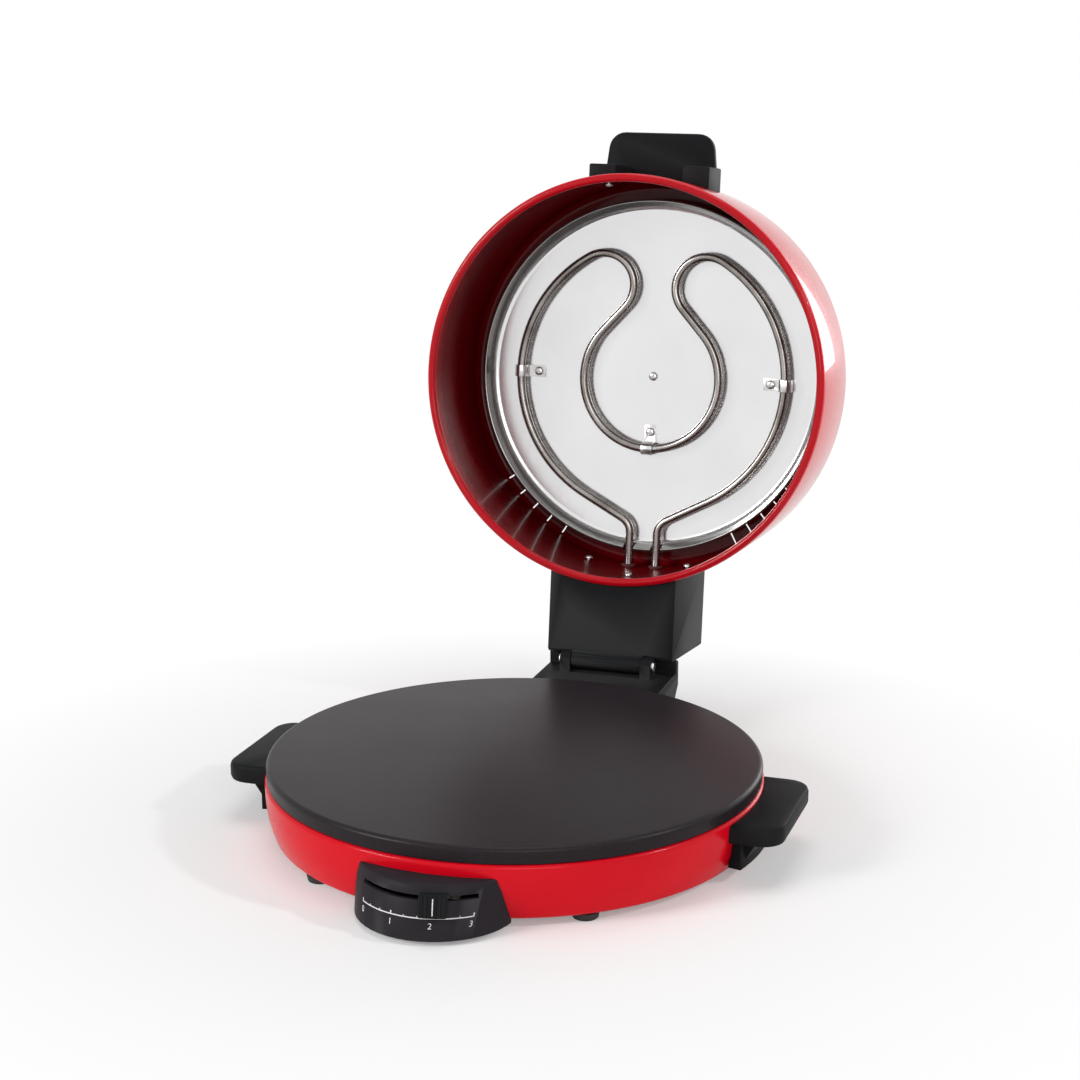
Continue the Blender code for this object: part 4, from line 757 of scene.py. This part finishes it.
def make_drum():
    profile = thick(drum_profile(), 1.0 * MM)
    half = len(profile) // 2
    drum = spun(profile[half:] + profile[:half], 288, ring=False)
    tools = []
    for side in (-1, 1):
        for i in range(5):
            angle = side * math.radians(29 + 6 * i)
            outline = arc((0, 147.5 * MM), 0.55 * MM, -QUARTER, QUARTER, 8)
            outline += arc((0, 128 * MM), 0.55 * MM, QUARTER, 3 * QUARTER, 8)
            turn = Matrix.Rotation(-angle, 4, "Z")
            tools.append(raised(outline, HOOD_DEPTH - 11 * MM, HOOD_DEPTH + 4 * MM, turn))
        spot = along((side * LEG_X, HOOD_RADIUS, ELEMENT_DEPTH), (0, 1, 0))
        tools.append(rod(5.1 * MM, -12 * MM, 4 * MM, spot))
    piece("drum_pressing", combined(drum, joined(*tools)), HOOD_RED, "hood", HOOD, ("hood_shell",), 40)


def make_tray():
    corners = [
        (136.3 * MM, 81.8 * MM, 0),
        (134.5 * MM, TRAY_LIP, 0.9 * MM),
        (130 * MM, TRAY_FLOOR, 4 * MM),
        (0, TRAY_FLOOR, 0),
    ]
    profile = thick(rounded(corners, 8), -0.8 * MM)
    half = len(profile) // 2
    tray = spun(profile[half:] + profile[:half], 256, ring=False)
    notches = []
    for side in (-1, 1):
        reach = 4.1 * MM
        low = (side * LEG_X - reach, 126 * MM, TRAY_LIP - 4 * MM)
        notches.append(block(low, (side * LEG_X + reach, 142.5 * MM, ELEMENT_DEPTH + reach)))
    tray = combined(tray, joined(*notches))
    piece("reflector_tray", tray, TRAY_METAL, "hood", HOOD, ("reflector",), 40)


def element_half():
    """Right half of the upper element's line, from the middle of its inner arc to its cold end."""
    inner, outer = Vector((0, 2 * MM)), Vector((0, 1 * MM))
    outer_radius, inner_radius, loop_radius, bend_radius = 106 * MM, 54 * MM, 24.4 * MM, 13 * MM
    loop_x = 41 * MM
    reach = outer_radius - loop_radius
    loop = Vector((loop_x, outer.y - math.sqrt(reach * reach - loop_x * loop_x)))
    bend = Vector((LEG_X + bend_radius, 123 * MM))
    across = loop - inner
    leave = math.atan2(across.x, across.y) - math.acos((inner_radius + loop_radius) / across.length)
    contact = math.atan2(loop.x, loop.y - outer.y)
    back = bend - outer
    depart = math.atan2(back.x, back.y) + math.acos((outer_radius + bend_radius) / back.length)
    points = arc(inner, inner_radius, 0, leave, 60)
    points += arc(loop, loop_radius, leave + math.pi, contact, 36)
    points += arc(outer, outer_radius, contact, depart, 90)[1:]
    points += arc(bend, bend_radius, depart + math.pi, math.pi * 1.5, 12)
    return points + [Vector((LEG_X, 140 * MM)), Vector((LEG_X, 168 * MM))]


def tube(points, radius, resolution=6):
    """A round tube along a line of points, with closed ends."""
    curve = bpy.data.curves.new("tube", "CURVE")
    curve.dimensions = "3D"
    curve.bevel_depth = radius
    curve.bevel_resolution = resolution
    curve.use_fill_caps = True
    spline = curve.splines.new("POLY")
    spline.points.add(len(points) - 1)
    for spot, point in zip(spline.points, points):
        spot.co = (*point, 1)
    thing = bpy.data.objects.new("tube", curve)
    bpy.context.scene.collection.objects.link(thing)
    bpy.context.view_layer.update()
    seen = thing.evaluated_get(bpy.context.evaluated_depsgraph_get())
    bm = bmesh.new()
    bm.from_mesh(seen.to_mesh())
    seen.to_mesh_clear()
    bpy.data.objects.remove(thing)
    bpy.data.curves.remove(curve)
    bmesh.ops.remove_doubles(bm, verts=bm.verts[:], dist=0.002 * MM)
    bmesh.ops.recalc_face_normals(bm, faces=bm.faces[:])
    return bm


def make_elements():
    half = [(x, y, ELEMENT_DEPTH) for x, y in element_half()]
    other = [(-x, y, z) for x, y, z in half[1:]]
    piece("grill_element", tube(other[::-1] + half, 3.3 * MM), SHEATH, "hood", HOOD, ("upper_element",), 60)


def screw_shape(radius, height, shank, length):
    """A pan head with a cross recess, its shank along +Z."""
    dome = [(radius, 0)]
    for i in range(1, 8):
        dome.append((radius * math.cos(QUARTER * i / 8), -height * math.sin(QUARTER * i / 8) ** 0.8))
    profile = [(0, length), (shank, length), (shank, 0)] + dome + [(0, -height)]
    body = spun(profile, 40, ring=False)
    cross = []
    for turn in (0, QUARTER):
        place = Matrix.Rotation(turn + 0.3, 4, "Z")
        long, wide = radius * 0.5, radius * 0.12
        cross.append(block((-long, -wide, -height - MM), (long, wide, -height * 0.45), place))
    for arm in cross:
        body = combined(body, arm)
    return body


TRAY_SCREWS = {
    "middle": ((0, 0), 0.3 * MM, 9.4 * MM),
    "left": ((-93.5 * MM, 1 * MM), 1.4 * MM, 9.4 * MM),
    "right": ((93.5 * MM, 1 * MM), 1.4 * MM, 9.4 * MM),
    "rear": ((0, 43.5 * MM), 1.4 * MM, 9.4 * MM),
}


def make_hood_screws():
    for name, ((x, y), lift, length) in TRAY_SCREWS.items():
        place = HOOD @ along((x, y, TRAY_FLOOR - lift), (0, 0, 1))
        shape = screw_shape(3.4 * MM, 1.8 * MM, 1.6 * MM, length)
        piece("tray_screw_head_" + name, shape, SCREW_METAL, "hood", place, ("tray_screw_" + name,))
    for name, x, depth in (("left", -40, 72), ("right", 40, 72), ("middle", 0, 47)):
        radius = drum_radius(depth * MM) - 1 * MM
        reach = abs(x) * MM + 3.4 * MM
        point = (x * MM, math.sqrt(radius * radius - reach * reach) - 0.3 * MM, depth * MM)
        shape = screw_shape(3.4 * MM, 1.8 * MM, 1.6 * MM, 12 * MM)
        place = HOOD @ along(point, (0, 1, 0))
        piece("box_screw_head_" + name, shape, SCREW_METAL, "hood", place, ("box_screw_" + name,))
    for name, side in (("left", -1), ("right", 1)):
        depth = 59.5 * MM
        radius = drum_radius(depth) - 1 * MM
        reach = 33 * MM + 3.4 * MM
        point = (side * 33 * MM, 0.3 * MM - math.sqrt(radius * radius - reach * reach), depth)
        shape = screw_shape(3.4 * MM, 1.8 * MM, 1.6 * MM, 11 * MM)
        place = HOOD @ along(point, (0, -1, 0))
        piece("lid_screw_head_" + name, shape, SCREW_METAL, "hood", place, ("lid_handle_screw_" + name,))


def make_bushings():
    """Fired collars round the element's legs where they leave the drum."""
    wall = math.sqrt((drum_radius(ELEMENT_DEPTH) - 1 * MM) ** 2 - COLLAR_SEAT ** 2) - 0.3 * MM
    corners = [
        (3.7 * MM, 13 * MM, 0),
        (4.8 * MM, 13 * MM, 0.4 * MM),
        (4.8 * MM, 0, 0),
        (5.9 * MM, 0, 0),
        (5.3 * MM, -0.9 * MM, 0.5 * MM),
        (3.7 * MM, -1.1 * MM, 0.2 * MM),
    ]
    for name, side in (("left", -1), ("right", 1)):
        place = HOOD @ along((side * LEG_X, wall, ELEMENT_DEPTH), (0, 1, 0))
        collar = spun(rounded(corners, 4), 48)
        piece("leg_collar_" + name, collar, BROWN_CERAMIC, "hood", place, ("element_bushing_" + name,))


def make_hinge_pin():
    half = 37.1 * MM
    corners = [(0, -half, 0), (4 * MM, -half, 0.9 * MM), (4 * MM, half, 0.9 * MM), (0, half, 0)]
    pin = spun(rounded(corners, 5), 48, ring=False)
    place = along(HINGE, (1, 0, 0))
    piece("polished_hinge_pin", pin, SCREW_METAL, BODY_OF["hinge_pin"], place, ("hinge_pin",))


def make_cover_screws():
    for node in ("cover_screw_1", "cover_screw_2", "cover_screw_3"):
        low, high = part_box(node)
        seat = low.z + 1.8 * MM
        middle = (low + high) / 2
        shape = screw_shape(3.4 * MM, 1.8 * MM, 1.6 * MM, high.z - seat)
        piece(node + "_head", shape, ZINC, "base", Matrix.Translation((middle.x, middle.y, seat)), (node,))


def make_mouldings():
    refined("cord_gland", 0.5 * MM, RUBBER, 3, 40)
    refined("side_handle_left", 1.6 * MM, PLASTIC)
    refined("side_handle_right", 1.6 * MM, PLASTIC)
    refined("hinge_bracket", 0.6 * MM, PLASTIC)
    refined("terminal_box", 0.6 * MM, PLASTIC)
    refined("lid_handle", 1.0 * MM, PLASTIC)
    for name in ("left", "right", "rear"):
        refined("element_clip_" + name, 0.25 * MM, SCREW_METAL, 2)


def finish_cad_nodes():
    """Gives every CAD node that still shows its finish."""
    for node, thing in frame["nodes"].items():
        finish = FINISHES[SLOTS[node]]
        for slot in thing.material_slots:
            slot.material = finish
        if not thing.material_slots:
            thing.data.materials.append(finish)


# Floor, light and camera

def make_floor():
    """Pale floor that keeps the object's shadow and turns into the white backdrop away from it."""
    bm = bmesh.new()
    bmesh.ops.create_grid(bm, x_segments=1, y_segments=1, size=6)
    mesh = bpy.data.meshes.new("floor")
    bm.to_mesh(mesh)
    bm.free()
    floor = bpy.data.objects.new("floor", mesh)
    bpy.context.scene.collection.objects.link(floor)
    finish, tree, shader = shader_nodes("pale floor")
    where = object_place(tree)
    cloud = spots(tree, where, 2.5, 3).outputs["Fac"]
    pale = tints(tree, cloud, (0.3, (0.88, 0.875, 0.877)), (0.7, (0.9, 0.895, 0.897)))
    tree.links.new(pale, shader.inputs["Base Color"])
    shader.inputs["Roughness"].default_value = 0.6
    white = add(tree, "ShaderNodeEmission", Strength=1.0)
    reach = add(tree, "ShaderNodeVectorMath", [(0, where)], operation="DISTANCE")
    reach.inputs[1].default_value = (0, BASE_Y, 0)
    far = between(tree, reach.outputs["Value"], 0.25, 1.0, 0.19, 0.46)
    rays = add(tree, "ShaderNodeLightPath")
    seen = add(tree, "ShaderNodeMath", [(0, rays.outputs["Is Camera Ray"])], operation="MAXIMUM")
    tree.links.new(rays.outputs["Is Glossy Ray"], seen.inputs[1])
    also = add(tree, "ShaderNodeMath", [(0, seen.outputs[0])], operation="MAXIMUM")
    tree.links.new(rays.outputs["Is Transmission Ray"], also.inputs[1])
    share = add(tree, "ShaderNodeMath", [(0, also.outputs[0]), (1, far)], operation="MULTIPLY").outputs[0]
    mix = add(tree, "ShaderNodeMixShader", [(0, share), (1, shader.outputs[0]), (2, white.outputs[0])])
    tree.links.new(mix.outputs[0], tree.nodes["Material Output"].inputs["Surface"])
    mesh.materials.append(finish)


def make_backdrop():
    """White round the object for camera, glossy and transmission rays, and a soft fill for the rest."""
    world = bpy.data.worlds.new("studio")
    bpy.context.scene.world = world
    world.use_nodes = True
    tree = world.node_tree
    background = tree.nodes["Background"]
    rays = add(tree, "ShaderNodeLightPath")
    seen = add(tree, "ShaderNodeMath", [(0, rays.outputs["Is Camera Ray"])], operation="MAXIMUM")
    tree.links.new(rays.outputs["Is Glossy Ray"], seen.inputs[1])
    also = add(tree, "ShaderNodeMath", [(0, seen.outputs[0])], operation="MAXIMUM")
    tree.links.new(rays.outputs["Is Transmission Ray"], also.inputs[1])
    tree.links.new(between(tree, also.outputs[0], 0.15, 1.0), background.inputs["Strength"])
    background.inputs["Color"].default_value = (1, 1, 1, 1)


def lamp(name, place, target, size, power, colour=(1, 1, 1)):
    light = bpy.data.lights.new(name, "AREA")
    light.shape = "RECTANGLE"
    light.size, light.size_y = size
    light.energy = power
    light.color = colour
    thing = bpy.data.objects.new(name, light)
    bpy.context.scene.collection.objects.link(thing)
    thing.location = place
    thing.rotation_euler = (Vector(target) - Vector(place)).to_track_quat("-Z", "Y").to_euler()
    return thing


def make_lights():
    lamp("key softbox", (-1.75, -1.85, 1.3), (0, 0, 0.15), (0.8, 0.8), 46)
    lamp("front softbox", (1.02, -2.18, 1.07), (0, 0, 0.12), (1.2, 1.0), 16)
    lamp("side lamp", (1.72, -0.055, 1.26), (0, 0.156, 0.262), (0.14, 0.14), 13)
    lamp("top softbox", (0, 0.15, 2.2), (0, 0, 0.1), (1.1, 1.1), 11)
    lamp("rear strip", (0.95, 1.9, 0.55), (0, 0.15, 0.25), (0.8, 1.0), 12)


def make_camera():
    yaw, tilt = math.radians(18.6), math.radians(14.55)
    distance = 1.45
    towards = Vector((math.sin(yaw) * math.cos(tilt), -math.cos(yaw) * math.cos(tilt), math.sin(tilt)))
    target = Vector((17.9 * MM, BASE_Y - 0.5 * MM, 201.6 * MM))
    camera = bpy.data.cameras.new("camera")
    camera.lens = 74.7
    camera.sensor_width = 36
    camera.clip_start = 0.01
    thing = bpy.data.objects.new("camera", camera)
    bpy.context.scene.collection.objects.link(thing)
    thing.location = target + towards * distance
    thing.rotation_euler = (-towards).to_track_quat("-Z", "Y").to_euler()
    bpy.context.scene.camera = thing


make_camera()
finish_cad_nodes()
make_base_shell()
make_hot_plate()
make_control_panel()
make_knob()
make_cover()
make_feet()
make_drum()
make_tray()
make_elements()
make_hood_screws()
make_bushings()
make_hinge_pin()
make_cover_screws()
make_mouldings()
make_floor()
make_backdrop()
make_lights()
bpy.context.scene.view_settings.view_transform = "Standard"
